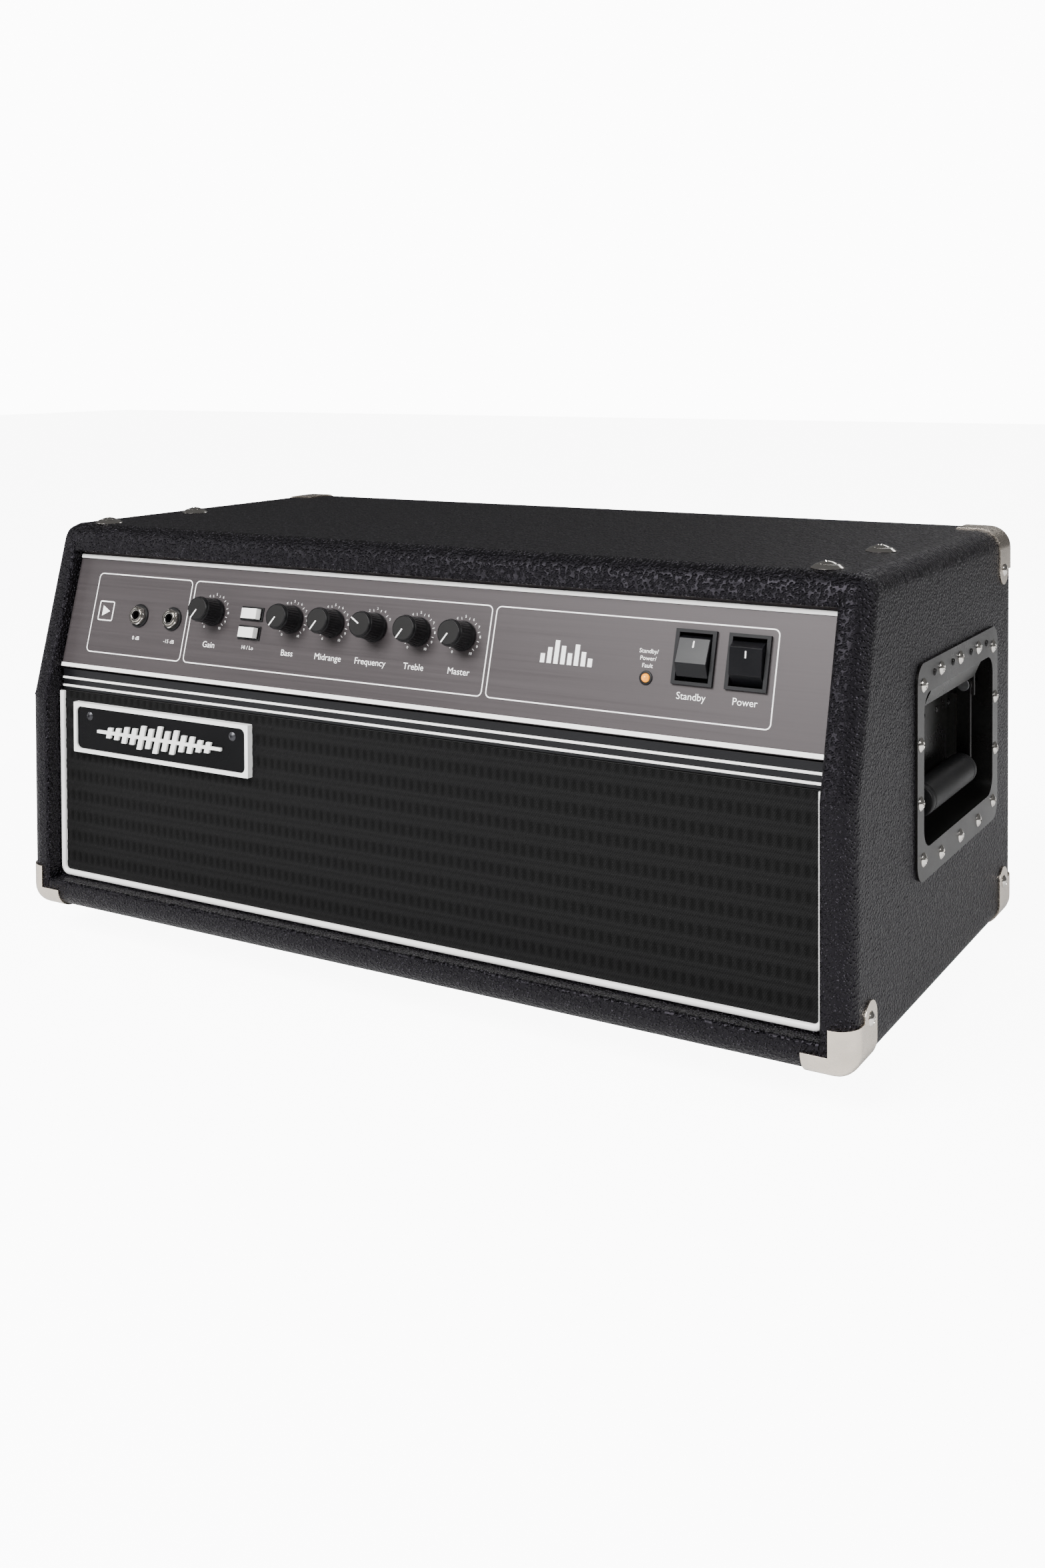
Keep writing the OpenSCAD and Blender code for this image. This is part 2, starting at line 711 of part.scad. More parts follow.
module dish(side) {
  ear_y = arm_y + arm_t / 2 + 0.5;
  color("#1a1a1b") on_side(side) difference() {
    union() {
      difference() {
        union() {
          rotate([90, 0, 90]) linear_extrude(flange_t) rounded_rect(flange_w, flange_h, dish_r);
          intersection() {
            dish_pan(flange_t, dish_depth + flange_t);
            translate([-100, -200, -200]) cube([100, 400, 400]);
          }
        }
        dish_pan(0, dish_depth);
      }
      // folded lip over the arms
      translate([0, arm_y + 2, 0]) rotate([90, 0, 0]) linear_extrude(2 * arm_y + 4)
        polygon([[0, dish_h / 2], [-5, dish_h / 2 - 11.5], [-6.3, dish_h / 2 - 11],
          [-1.5, dish_h / 2 + 0.5], [0, dish_h / 2 + 0.5]]);
      for (i = [-1, 1]) translate([-dish_depth - 0.5, i > 0 ? ear_y : -ear_y - ear_t, pivot_z - 7])
        cube([dish_depth + 0.5 + pivot_x + 6, ear_t, 14]);
    }
    for (p = side_screws) translate([-1, p[0], p[1]]) rotate([0, 90, 0])
      cylinder(r = screw_r, h = 5);
    translate([pivot_x, 200, pivot_z]) rotate([90, 0, 0]) cylinder(r = pin_r, h = 400);
  }
}
module left_dish() { dish(-1); }
module right_dish() { dish(1); }

module hinge_pins() {
  inner = arm_y - arm_t / 2 - 1.2;
  outer = arm_y + arm_t / 2 + 0.5 + ear_t;
  color("#77787a") for (side = [-1, 1], i = [-1, 1]) on_side(side)
    translate([pivot_x, i * inner, pivot_z]) rotate([-90 * i, 0, 0]) {
      cylinder(r = pin_r, h = outer - inner + 0.5);
      cylinder(r = pin_r + 1.5, h = 1);
      translate([0, 0, outer - inner]) cylinder(r = pin_r + 1.5, h = 1);
    }
}

module bail(side) {
  color("#55575a") on_side(side) difference() {
    union() {
      for (i = [-1, 1]) translate([pivot_x, i * arm_y + arm_t / 2, 0]) rotate([90, 0, 0])
        linear_extrude(arm_t) {
          translate([0, pivot_z]) circle(5);
          translate([0, grip_z]) circle(5.5);
          translate([-arm_w / 2, grip_z]) square([arm_w, pivot_z - grip_z]);
        }
      translate([pivot_x, arm_y, grip_z]) rotate([90, 0, 0]) cylinder(r = rod_r, h = 2 * arm_y);
    }
    translate([pivot_x, 200, pivot_z]) rotate([90, 0, 0])
      cylinder(r = pin_r + running, h = 400);
  }
}
module left_bail() { bail(-1); }
module right_bail() { bail(1); }

module grip(side) {
  color("#202022") on_side(side) translate([pivot_x, grip_l / 2, grip_z]) rotate([90, 0, 0])
    rotate_extrude() polygon([[rod_r, 0], [grip_r - 1.5, 0], [grip_r - 0.4, 0.5],
      [grip_r, 1.6], [grip_r, grip_l - 1.6], [grip_r - 0.4, grip_l - 0.5],
      [grip_r - 1.5, grip_l], [rod_r, grip_l]]);
}
module left_grip() { grip(-1); }
module right_grip() { grip(1); }

// ---- rear ----

// upright slots, each cut to length by a rectangle or a circle
module slot_field(half, height_at) {
  n = floor(half / slot_pitch);
  for (i = [-n : n]) {
    h = height_at(i * slot_pitch);
    if (h > 12) translate([i * slot_pitch - slot_w / 2, -h / 2]) square([slot_w, h]);
  }
}

module rear_panel() {
  fan_slot_r = fan_bore_r - 2;
  color("#1c1c1d") in_cabinet() difference() {
    translate([-panel_half_w, rear_y - rear_t, board_t + gap])
      cube([2 * panel_half_w, rear_t, inner_top - board_t - 2 * gap]);
    translate([0, rear_y + 1, 0]) rotate([90, 0, 0]) linear_extrude(rear_t + 2) {
      for (z = [board_t + 98, board_t + 152]) translate([40, z])
        slot_field(150, function(x) 44);
      translate([fan_x, fan_z]) slot_field(fan_slot_r,
        function(x) 2 * sqrt(max(0, pow(fan_slot_r, 2) - x * x)));
      translate([inlet_x, inlet_z]) square([inlet_w, inlet_h], center = true);
    }
    for (x = out_jack_x) translate([x, rear_y - 10, out_jack_z]) rotate([-90, 0, 0])
      cylinder(r = bushing_r, h = 20);
    for (x = rear_screw_x, z = rear_screw_z) translate([x, rear_y - 10, z]) rotate([-90, 0, 0])
      cylinder(r = screw_r, h = 20);
  }
}

module at_fan() {
  in_cabinet() translate([fan_x, rear_y - rear_t, fan_z]) rotate([90, 0, 0]) children();
}

module fan_frame() {
  color("#1f1f20") at_fan() union() {
    difference() {
      linear_extrude(fan_t) rounded_rect(fan_w, fan_w, 5);
      translate([0, 0, -1]) cylinder(r = fan_bore_r, h = fan_t + 2);
    }
    translate([0, 0, fan_t - 2.5]) cylinder(r = fan_hub_r, h = 2.5);
    for (a = [45 : 90 : 315]) rotate([0, 0, a])
      translate([fan_hub_r - 2, -2, fan_t - 2.5]) cube([fan_bore_r - fan_hub_r + 3, 4, 2.5]);
    translate([0, 0, 8]) cylinder(r = 2, h = fan_t - 9);
  }
}

module fan_rotor() {
  blade_l = fan_bore_r - 1.2 - fan_hub_r + 2;
  color("#2a2a2b") at_fan() difference() {
    union() {
      translate([0, 0, 2]) cylinder(r = fan_hub_r, h = fan_t - 6);
      for (a = [0 : 360 / 7 : 359]) rotate([0, 0, a]) translate([fan_hub_r - 2, 0, fan_t / 2 - 1])
        rotate([38, 0, 0]) translate([0, -9, -0.8]) cube([blade_l, 18, 1.6]);
    }
    translate([0, 0, 7]) cylinder(r = 2 + running, h = 30);
  }
}

module mains_inlet() {
  color("#151516") in_cabinet() translate([inlet_x, rear_y, inlet_z]) rotate([-90, 0, 0]) {
    difference() {
      union() {
        translate([-inlet_w / 2 - 3, -inlet_h / 2 - 3, 0]) cube([inlet_w + 6, inlet_h + 6, 2.4]);
        translate([-inlet_w / 2, -inlet_h / 2, -24]) cube([inlet_w, inlet_h, 25]);
      }
      translate([-12.3, -8.2, -17]) cube([24.6, 16.4, 30]);
    }
    for (p = [[-7, -1.5], [0, 2], [7, -1.5]]) translate([p[0] - 2, p[1] - 1, -18])
      cube([4, 2, 15]);
  }
}

module speaker_jacks() {
  color("#b9b6ae") for (x = out_jack_x) in_cabinet()
    translate([x, rear_y - rear_t - wall_n, out_jack_z]) rotate([-90, 0, 0]) jack(rear_t + wall_n + 6);
}

// ---- inside ----

module preamp_chassis() {
  y0 = panel_y + (shelf_z - panel_z) * slope - wall_n / cos(lean);
  skin = shield_t / cos(lean);
  high = inner_top - 1;
  inside_z = shelf_z + shield_t;
  function wall_at(z) = y0 + (z - shelf_z) * slope;
  strap_y = wall_at(high) - 0.35;   // bolt straps start inside the leaning wall
  color("#9a9c9c") difference() {
    in_cabinet() {
      difference() {
        rotate([90, 0, 90]) translate([0, 0, -shelf_half]) linear_extrude(2 * shelf_half)
          polygon([[wall_at(shelf_z) - skin, shelf_z], [shelf_back, shelf_z], [shelf_back, high],
            [wall_at(high) - skin, high]]);
        rotate([90, 0, 90]) translate([0, 0, -shelf_half + shield_t])
          linear_extrude(2 * (shelf_half - shield_t))
          polygon([[wall_at(inside_z), inside_z], [shelf_back - shield_t, inside_z],
            [shelf_back - shield_t, high + 1], [wall_at(high + 1), high + 1]]);
      }
      for (i = [-1, 1]) translate([i * bolt_x - 11, strap_y, high - shield_t])
        cube([22, bolt_ys[1] + 10.4 - strap_y, shield_t]);
    }
    on_panel() panel_holes(12);
    bolt_places() translate([0, 0, -board_t - 8]) cylinder(r = bolt_r, h = 9);
  }
}

module power_chassis() {
  color("#8f9191") in_cabinet() difference() {
    translate([-tray_w / 2, tray_front, board_t]) cube([tray_w, tray_back - tray_front, tray_h]);
    translate([-tray_w / 2 - 1, tray_front + tray_t, board_t - 1])
      cube([tray_w + 2, tray_back - tray_front - 2 * tray_t, tray_h - tray_t + 1]);
    for (x = valve_axes) translate([x, valve_y, 0]) cylinder(r = 14, h = 200);
    for (x = small_valve_axes) translate([x, small_valve_y, 0]) cylinder(r = 9, h = 200);
  }
}

module transformer(w, d, h) {
  coil = 14;
  translate([-w / 2 + coil, -d / 2, 0]) cube([w - 2 * coil, d, h]);
  translate([-w / 2, -d / 2 + coil, h * 0.18]) cube([w, d - 2 * coil, h * 0.64]);
}

module power_transformer() {
  color("#222224") in_cabinet() translate([inner_half_w - 82, tray_front + 62, tray_top])
    transformer(108, 104, 96);
}

module output_transformer() {
  color("#222224") in_cabinet() translate([-inner_half_w + 82, tray_front + 62, tray_top])
    transformer(96, 92, 88);
}

module filter_capacitors() {
  color("#3d5a78") in_cabinet() for (i = [-1.5 : 1 : 1.5])
    translate([i * 42, tray_front + 40, tray_top]) rotate_extrude()
      polygon([[0, 0], [17, 0], [17.5, 1], [17.5, 3], [17, 4], [17.5, 5], [17.5, 77], [16.5, 78],
        [16.5, 77], [0, 77]]);
}

// base ring of a valve, standing through the chassis
module socket(r) {
  rotate_extrude() polygon([[0, -8], [r, -8], [r, 0], [r + 3, 0], [r + 3, 2.4], [0, 2.4]]);
}

module valve_sockets() {
  color("#d9d4c4") in_cabinet() {
    for (x = valve_axes) translate([x, valve_y, tray_top]) socket(14);
    for (x = small_valve_axes) translate([x, small_valve_y, tray_top]) socket(9);
  }
}

module power_valves() {
  color("#b9c4cc") in_cabinet() for (x = valve_axes) translate([x, valve_y, tray_top + 2.4])
    rotate_extrude() polygon([[0, 0], [15.5, 0], [15.5, 14], [17.5, 22], [18.2, 34], [18.2, 78],
      [15, 90], [7, 97], [2.5, 99], [0, 102]]);
}

module preamp_valves() {
  color("#b9c4cc") in_cabinet() for (x = small_valve_axes)
    translate([x, small_valve_y, tray_top + 2.4])
      rotate_extrude() polygon([[0, 0], [9.8, 0], [10.6, 3], [10.6, 40], [8, 45], [3, 48],
        [1.2, 52], [0, 53]]);
}

top_board();
bottom_board();
left_side_board();
right_side_board();
rear_cleats();
grille_board();
grille_cloth();
grille_piping();
trim_rail();
white_strips();
control_panel();
badge_plate();
badge_emblem();
badge_screws();
gain_knob();
bass_knob();
mid_knob();
frequency_knob();
treble_knob();
master_knob();
potentiometers();
rotary_switch();
shaft_nuts();
input_jacks();
jack_washers();
jack_nuts();
upper_tone_rocker();
lower_tone_rocker();
tone_switch_housings();
standby_rocker();
power_rocker();
power_switch_housings();
lamp_lens();
lamp_bezel();
preamp_chassis();
chassis_bolts();
cup_washers();
corner_guards();
cabinet_screws();
left_dish();
right_dish();
hinge_pins();
left_bail();
right_bail();
left_grip();
right_grip();
feet();
foot_screws();
rear_panel();
fan_frame();
fan_rotor();
mains_inlet();
speaker_jacks();
power_chassis();
power_transformer();
output_transformer();
filter_capacitors();
valve_sockets();
power_valves();
preamp_valves();
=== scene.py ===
import json
import math

import bmesh
import bpy
from mathutils import Euler, Matrix, Vector


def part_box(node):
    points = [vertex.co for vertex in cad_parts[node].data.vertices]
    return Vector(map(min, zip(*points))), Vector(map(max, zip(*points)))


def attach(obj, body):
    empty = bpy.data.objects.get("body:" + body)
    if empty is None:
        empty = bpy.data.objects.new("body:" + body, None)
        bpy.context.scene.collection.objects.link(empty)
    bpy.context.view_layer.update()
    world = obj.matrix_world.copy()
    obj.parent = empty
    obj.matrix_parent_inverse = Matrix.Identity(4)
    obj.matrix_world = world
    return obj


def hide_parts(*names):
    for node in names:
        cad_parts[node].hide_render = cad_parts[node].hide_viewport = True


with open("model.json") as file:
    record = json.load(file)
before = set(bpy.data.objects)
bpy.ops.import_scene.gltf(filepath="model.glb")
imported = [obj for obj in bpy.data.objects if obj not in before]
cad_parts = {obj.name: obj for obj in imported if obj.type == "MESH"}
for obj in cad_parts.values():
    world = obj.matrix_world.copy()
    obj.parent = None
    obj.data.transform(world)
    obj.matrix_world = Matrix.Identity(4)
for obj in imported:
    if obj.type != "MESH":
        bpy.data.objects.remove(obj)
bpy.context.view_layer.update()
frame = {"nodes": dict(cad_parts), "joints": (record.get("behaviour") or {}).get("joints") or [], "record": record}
nodes = frame["nodes"]
scene = bpy.context.scene
mm = 0.001
turn = math.tau
weld = 1e-6  # points closer than this are one
bodyOf = {n: b for b, group in frame["record"]["behaviour"]["bodies"].items() for n in group}

def put(mat, kind, inputs=None, **settings):
    node = mat.node_tree.nodes.new("ShaderNode" + kind)
    for key, value in settings.items():
        setattr(node, key, value)
    for socket, value in (inputs or {}).items():
        if isinstance(value, bpy.types.NodeSocket):
            mat.node_tree.links.new(value, node.inputs[socket])
        else:
            node.inputs[socket].default_value = value
    return node


def newFinish(name, color, roughness, metallic=0.0, **fixed):
    mat = bpy.data.materials.new(name)
    mat.use_nodes = True
    shader = mat.node_tree.nodes["Principled BSDF"]
    shader.inputs["Base Color"].default_value = (*color, 1)
    shader.inputs["Roughness"].default_value = roughness
    shader.inputs["Metallic"].default_value = metallic
    for socket, value in fixed.items():
        shader.inputs[socket.replace("_", " ")].default_value = value
    return mat


def feed(mat, socket, value):
    mat.node_tree.links.new(value, mat.node_tree.nodes["Principled BSDF"].inputs[socket])


def place(mat, stretch=(1, 1, 1), rotation=(0, 0, 0)):
    coords = put(mat, "TexCoord").outputs["Object"]
    return put(mat, "Mapping", {"Vector": coords, "Scale": stretch,
        "Rotation": rotation}).outputs["Vector"]


def noise(mat, where, scale, detail=3.0, rough=0.5):
    return put(mat, "TexNoise", {"Vector": where, "Scale": scale, "Detail": detail,
        "Roughness": rough}).outputs["Fac"]


def remap(mat, value, low, high, newLow, newHigh):
    return put(mat, "MapRange", {"Value": value, "From Min": low, "From Max": high,
        "To Min": newLow, "To Max": newHigh}).outputs[0]


def maths(mat, operation, a, b=0.0):
    return put(mat, "Math", {0: a, 1: b}, operation=operation).outputs[0]


def tint(mat, value, dark, light, low=0.3, high=0.7):
    node = put(mat, "ValToRGB", {"Fac": value})
    for stop, position, color in zip(node.color_ramp.elements, (low, high), (dark, light)):
        stop.position, stop.color = position, (*color, 1)
    return node.outputs["Color"]


def relief(mat, height, depth, strength=1.0):
    return put(mat, "Bump", {"Height": height, "Distance": depth,
        "Strength": strength}).outputs["Normal"]


# moulded, painted or plated finish; grain is the width and depth the height of its specks, in mm
def speckled(name, color, roughness, grain, depth, metallic=0.0, spread=0.25, specular=0.5):
    mat = newFinish(name, color, roughness, metallic, Specular_IOR_Level=specular)
    where = place(mat)
    cloud = noise(mat, where, 22.0, 4.0)
    fine = noise(mat, where, 1 / (grain * mm), 2.0)
    dark = tuple(c * (1 - spread) for c in color)
    light = tuple(min(1.0, c * (1 + spread)) for c in color)
    feed(mat, "Base Color", tint(mat, cloud, dark, light))
    feed(mat, "Roughness", remap(mat, cloud, 0.3, 0.7, roughness * 0.85, roughness * 1.15))
    feed(mat, "Normal", relief(mat, fine, depth * mm))
    return mat


def coveringFinish():
    look = {"pebble": 1.9 * mm, "depth": 1.6 * mm, "dark": (0.0004, 0.0004, 0.0005),
        "light": (0.0060, 0.0051, 0.0076), "roughness": (0.30, 0.46)}
    mat = newFinish("pebbleCovering", look["light"], 0.45, Specular_IOR_Level=0.2,
        Specular_Tint=(0.92, 0.85, 1.0, 1.0))
    where = place(mat)
    drift = put(mat, "TexNoise", {"Vector": where, "Scale": 420.0, "Detail": 2.0})
    warp = put(mat, "VectorMath", {0: drift.outputs["Color"], 1: (0.5, 0.5, 0.5)},
        operation="SUBTRACT")
    warp = put(mat, "VectorMath", {0: warp.outputs[0], "Scale": 1.2 * mm}, operation="SCALE")
    bent = put(mat, "VectorMath", {0: where, 1: warp.outputs[0]}).outputs[0]
    cells = put(mat, "TexVoronoi", {"Vector": bent, "Scale": 1 / look["pebble"],
        "Smoothness": 0.35}, feature="SMOOTH_F1")
    pebble = remap(mat, cells.outputs["Distance"], 0.05, 0.62, 1.0, 0.0)
    broad = noise(mat, where, 130.0, 3.0)
    height = maths(mat, "ADD", pebble, maths(mat, "MULTIPLY", broad, 0.5))
    # some pebble tops are painted lighter: painted glints standing in for the covering's specular sparkle
    pebbleGlints = maths(mat, "MULTIPLY", pebble, noise(mat, where, 420.0, 3.0, 0.7))
    feed(mat, "Base Color", tint(mat, pebbleGlints, look["dark"], look["light"], 0.22, 0.52))
    feed(mat, "Roughness", remap(mat, pebble, 0.0, 1.0, look["roughness"][1], look["roughness"][0]))
    feed(mat, "Normal", relief(mat, height, look["depth"], 1.0))
    return mat


def panelFinish():
    look = {"dark": (0.039, 0.0325, 0.034), "light": (0.051, 0.0430, 0.0448)}
    mat = newFinish("brushedPanel", look["light"], 0.42, 0.35)
    streaks = noise(mat, place(mat, (6, 900, 900)), 1.0, 4.0, 0.6)
    cloud = noise(mat, place(mat, (4, 12, 12)), 1.0, 2.0)
    feed(mat, "Base Color", tint(mat, maths(mat, "ADD", maths(mat, "MULTIPLY", streaks, 0.5),
        maths(mat, "MULTIPLY", cloud, 0.5)), look["dark"], look["light"]))
    feed(mat, "Roughness", remap(mat, streaks, 0.3, 0.7, 0.38, 0.52))
    feed(mat, "Normal", relief(mat, streaks, 0.02 * mm, 0.5))
    return mat


def clothFinish():
    look = {"thread": 0.75 * mm, "depth": 0.22 * mm, "dark": (0.0004, 0.0004, 0.0004),
        "light": (0.0060, 0.0059, 0.0061)}
    mat = newFinish("grilleWeave", look["light"], 0.72, Specular_IOR_Level=0.12)
    where = place(mat)
    axes = put(mat, "SeparateXYZ", {"Vector": where})
    k = turn / look["thread"] / 2
    slant = maths(mat, "ADD", axes.outputs["X"], maths(mat, "MULTIPLY", axes.outputs["Z"], 0.6))
    warp = maths(mat, "SINE", maths(mat, "MULTIPLY", slant, k))
    weft = maths(mat, "SINE", maths(mat, "MULTIPLY", axes.outputs["Z"], k * 1.3))
    weave = maths(mat, "MULTIPLY", warp, weft)
    frays = noise(mat, where, 700.0, 2.0, 0.7)
    height = maths(mat, "ADD", remap(mat, weave, -1, 1, 0, 1), maths(mat, "MULTIPLY", frays, 0.9))
    # the stored lift multiplies the colour: painted shade in the dips and painted light on the raised bands, over
    # the thread pattern
    paintedDipShade = put(mat, "Attribute", attribute_name="lift").outputs["Fac"]
    tone = maths(mat, "MULTIPLY", remap(mat, height, 0.35, 1.35, 0.1, 1.3), paintedDipShade)
    feed(mat, "Base Color", tint(mat, tone, look["dark"], look["light"], 0.2, 0.9))
    feed(mat, "Normal", relief(mat, height, look["depth"], 0.8))
    return mat


def nickelFinish(name, color, roughness):
    mat = newFinish(name, color, roughness, 1.0)
    where = place(mat)
    cloud = noise(mat, where, 90.0, 4.0)
    scratches = noise(mat, place(mat, (300, 300, 2500), (0.4, 0.7, 0.2)), 1.0, 2.0)
    feed(mat, "Base Color", tint(mat, cloud, tuple(c * 0.88 for c in color), color))
    feed(mat, "Roughness", remap(mat, scratches, 0.3, 0.75, roughness * 0.75, roughness * 1.35))
    feed(mat, "Normal", relief(mat, cloud, 0.05 * mm, 0.3))
    return mat


# stacked sheets or wound wire along one axis
def stripedFinish(name, color, other, pitch, axis, roughness, metallic=0.0):
    mat = newFinish(name, color, roughness, metallic)
    part = put(mat, "SeparateXYZ", {"Vector": place(mat)}).outputs[axis]
    wave = maths(mat, "SINE", maths(mat, "MULTIPLY", part, turn / pitch))
    feed(mat, "Base Color", tint(mat, remap(mat, wave, -1, 1, 0, 1), other, color, 0.1, 0.6))
    feed(mat, "Normal", relief(mat, wave, pitch * 0.2, 0.7))
    return mat


def glassFinish():
    mat = newFinish("valveGlass", (0.86, 0.9, 0.92), 0.05, IOR=1.47, Transmission_Weight=0.9)
    getter = noise(mat, place(mat), 60.0, 3.0)
    feed(mat, "Roughness", remap(mat, getter, 0.3, 0.7, 0.02, 0.12))
    feed(mat, "Base Color", tint(mat, getter, (0.72, 0.78, 0.82), (0.9, 0.94, 0.96)))
    return mat


def woodFinish():
    mat = newFinish("bareWood", (0.45, 0.32, 0.19), 0.7)
    rings = noise(mat, place(mat, (6, 160, 160)), 1.0, 4.0, 0.6)
    feed(mat, "Base Color", tint(mat, rings, (0.33, 0.21, 0.11), (0.52, 0.38, 0.23)))
    feed(mat, "Normal", relief(mat, rings, 0.2 * mm, 0.5))
    return mat


covering = coveringFinish()
brushedPanel = panelFinish()
grilleWeave = clothFinish()
whiteVinyl = speckled("whiteVinyl", (0.90, 0.89, 0.87), 0.32, 0.9, 0.02, spread=0.04)
whitePlastic = speckled("whitePlastic", (0.86, 0.86, 0.84), 0.28, 0.7, 0.01, spread=0.03)
printWhite = speckled("printWhite", (0.92, 0.91, 0.90), 0.55, 0.2, 0.005, spread=0.04)
trimBlack = speckled("trimBlack", (0.005, 0.005, 0.006), 0.34, 0.6, 0.01, specular=0.18)
badgeBlack = speckled("badgeBlack", (0.003, 0.003, 0.0035), 0.3, 0.5, 0.01, specular=0.06)
knobBlack = speckled("knobBlack", (0.0045, 0.0045, 0.005), 0.38, 0.35, 0.02, specular=0.18)
capGrey = speckled("capGrey", (0.009, 0.0086, 0.0086), 0.5, 0.25, 0.015, spread=0.1, specular=0.15)
switchBlack = speckled("switchBlack", (0.004, 0.004, 0.005), 0.33, 0.3, 0.015, specular=0.18)
bezelBlack = speckled("bezelBlack", (0.009, 0.009, 0.010), 0.5, 0.25, 0.03, specular=0.18)
plainBlack = speckled("plainBlack", (0.005, 0.005, 0.0055), 0.45, 0.4, 0.02, specular=0.18)
powderBlack = speckled("powderBlack", (0.0055, 0.0052, 0.005), 0.3, 0.55, 0.06, specular=0.18)
gripRubber = speckled("gripRubber", (0.007, 0.007, 0.0075), 0.5, 0.4, 0.05, specular=0.18)
footRubber = speckled("footRubber", (0.02, 0.02, 0.021), 0.75, 0.5, 0.06, specular=0.18)
boardPaint = speckled("boardPaint", (0.02, 0.02, 0.02), 0.7, 1.5, 0.15)
oxideBlack = speckled("oxideBlack", (0.05, 0.05, 0.055), 0.35, 0.3, 0.02, metallic=0.8)
brightNickel = nickelFinish("brightNickel", (0.70, 0.67, 0.63), 0.13)
satinNickel = nickelFinish("satinNickel", (0.70, 0.625, 0.535), 0.24)
darkSteel = nickelFinish("darkSteel", (0.20, 0.20, 0.21), 0.38)
zincSteel = nickelFinish("zincSteel", (0.52, 0.53, 0.53), 0.42)
canSteel = nickelFinish("canSteel", (0.45, 0.45, 0.44), 0.4)
laminations = stripedFinish("laminations", (0.03, 0.03, 0.034), (0.012, 0.012, 0.014), 0.9 * mm,
    "Y", 0.5, 0.3)
blueSleeve = speckled("blueSleeve", (0.05, 0.12, 0.25), 0.35, 0.8, 0.02)
glazedCeramic = speckled("glazedCeramic", (0.75, 0.72, 0.64), 0.3, 1.2, 0.02, spread=0.05)
bareWood = woodFinish()
valveGlass = glassFinish()


def lampFinish():
    mat = newFinish("amberLens", (1.0, 0.42, 0.03), 0.18, Emission_Strength=1.3)
    part = put(mat, "TexNoise", {"Vector": place(mat), "Scale": 700.0}).outputs["Fac"]
    feed(mat, "Emission Color", tint(mat, part, (1.0, 0.26, 0.0), (1.0, 0.40, 0.0)))
    feed(mat, "Base Color", tint(mat, part, (0.6, 0.18, 0.0), (0.7, 0.28, 0.01)))
    return mat


amberLens = lampFinish()
print("finishes made")

def toMesh(bm, name, matrix=None, materials=()):
    if matrix is not None:
        bm.transform(matrix)
    mesh = bpy.data.meshes.new(name)
    bm.to_mesh(mesh)
    bm.free()
    for mat in materials:
        mesh.materials.append(mat)
    return mesh


def faceOutward(bm):
    bmesh.ops.recalc_face_normals(bm, faces=bm.faces)


def addPiece(name, mesh, body, stands=(), sharp=35, flatten=True):
    piece = bpy.data.objects.new(name, mesh)
    scene.collection.objects.link(piece)
    mesh.shade_smooth()
    mesh.set_sharp_from_angle(angle=math.radians(sharp))
    if flatten:
        weights = piece.modifiers.new("flatFaces", "WEIGHTED_NORMAL")
        weights.keep_sharp = True
    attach(piece, body)
    if stands:
        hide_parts(*stands)
    return piece


def plainMesh(carrier):
    bpy.context.view_layer.update()
    graph = bpy.context.evaluated_depsgraph_get()
    mesh = bpy.data.meshes.new_from_object(carrier.evaluated_get(graph))
    bpy.data.objects.remove(carrier)
    return mesh


def bevelSharp(bm, width, segments=2, angle=35, chosen=None):
    edges = [e for e in bm.edges if len(e.link_faces) == 2 and e.calc_face_angle(0) > math.radians(
        angle) and (chosen is None or chosen(e))]
    if edges:
        bmesh.ops.bevel(bm, geom=edges, offset=width, offset_type="OFFSET", segments=segments,
            profile=0.5, affect="EDGES", clamp_overlap=True)


def cadCopy(*names):
    bm = bmesh.new()
    for name in names:
        bm.from_mesh(nodes[name].data)
    bmesh.ops.remove_doubles(bm, verts=bm.verts, dist=3e-6)
    bmesh.ops.dissolve_limit(bm, angle_limit=math.radians(0.5), verts=bm.verts, edges=bm.edges)
    return bm


def camel(node):
    first, *rest = node.split("_")
    return first + "".join(word.capitalize() for word in rest)


# copy of a CAD node with eased edges and smooth curves, in its place
def refined(node, finish, bevel=0.0, segments=2, sharp=35, angle=35):
    bm = cadCopy(node)
    if bevel:
        bevelSharp(bm, bevel, segments, angle)
    return standIn(node, toMesh(bm, camel(node), materials=[finish]), sharp)


def standIn(node, mesh, sharp=35):
    return addPiece(camel(node), mesh, bodyOf[node], [node], sharp)


# turned shape about Z; profile runs (radius, height) and ends on the axis or closes
def lathe(bm, profile, steps=64, ripple=None):
    rings = []
    for r, z in profile:
        if r < 1e-7:
            rings.append([bm.verts.new((0, 0, z))])
            continue
        ring = []
        for i in range(steps):
            a = turn * i / steps
            k = r + (ripple(a, r, z) if ripple else 0.0)
            ring.append(bm.verts.new((k * math.cos(a), k * math.sin(a), z)))
        rings.append(ring)
    for low, high in zip(rings, rings[1:]):
        for i in range(steps):
            j = (i + 1) % steps
            corners = ([low[0], high[j], high[i]] if len(low) == 1 else [low[i], low[j],
                high[0]] if len(high) == 1 else [low[i], low[j], high[j], high[i]])
            bm.faces.new(corners)


# turned shape with its profile in mm, welded where the profile closes
def turnedShape(name, profile, steps, matrix=None, materials=()):
    bm = bmesh.new()
    lathe(bm, [(r * mm, z * mm) for r, z in profile], steps)
    bmesh.ops.remove_doubles(bm, verts=bm.verts, dist=weld)
    faceOutward(bm)
    return toMesh(bm, name, matrix, materials)


# quads between two loops with the same number of points
def ribbon(bm, a, b):
    for i in range(len(a)):
        j = (i + 1) % len(a)
        bm.faces.new((a[i], a[j], b[j], b[i]))


def roundedRect(w, h, r, n=6):
    points = []
    for cx, cy, start in ((w / 2 - r, h / 2 - r, 0), (-w / 2 + r, h / 2 - r, 1), (-w / 2 + r,
            -h / 2 + r, 2), (w / 2 - r, -h / 2 + r, 3)):
        for i in range(n + 1):
            a = (start + i / n) * turn / 4
            points.append((cx + r * math.cos(a), cy + r * math.sin(a)))
    return points


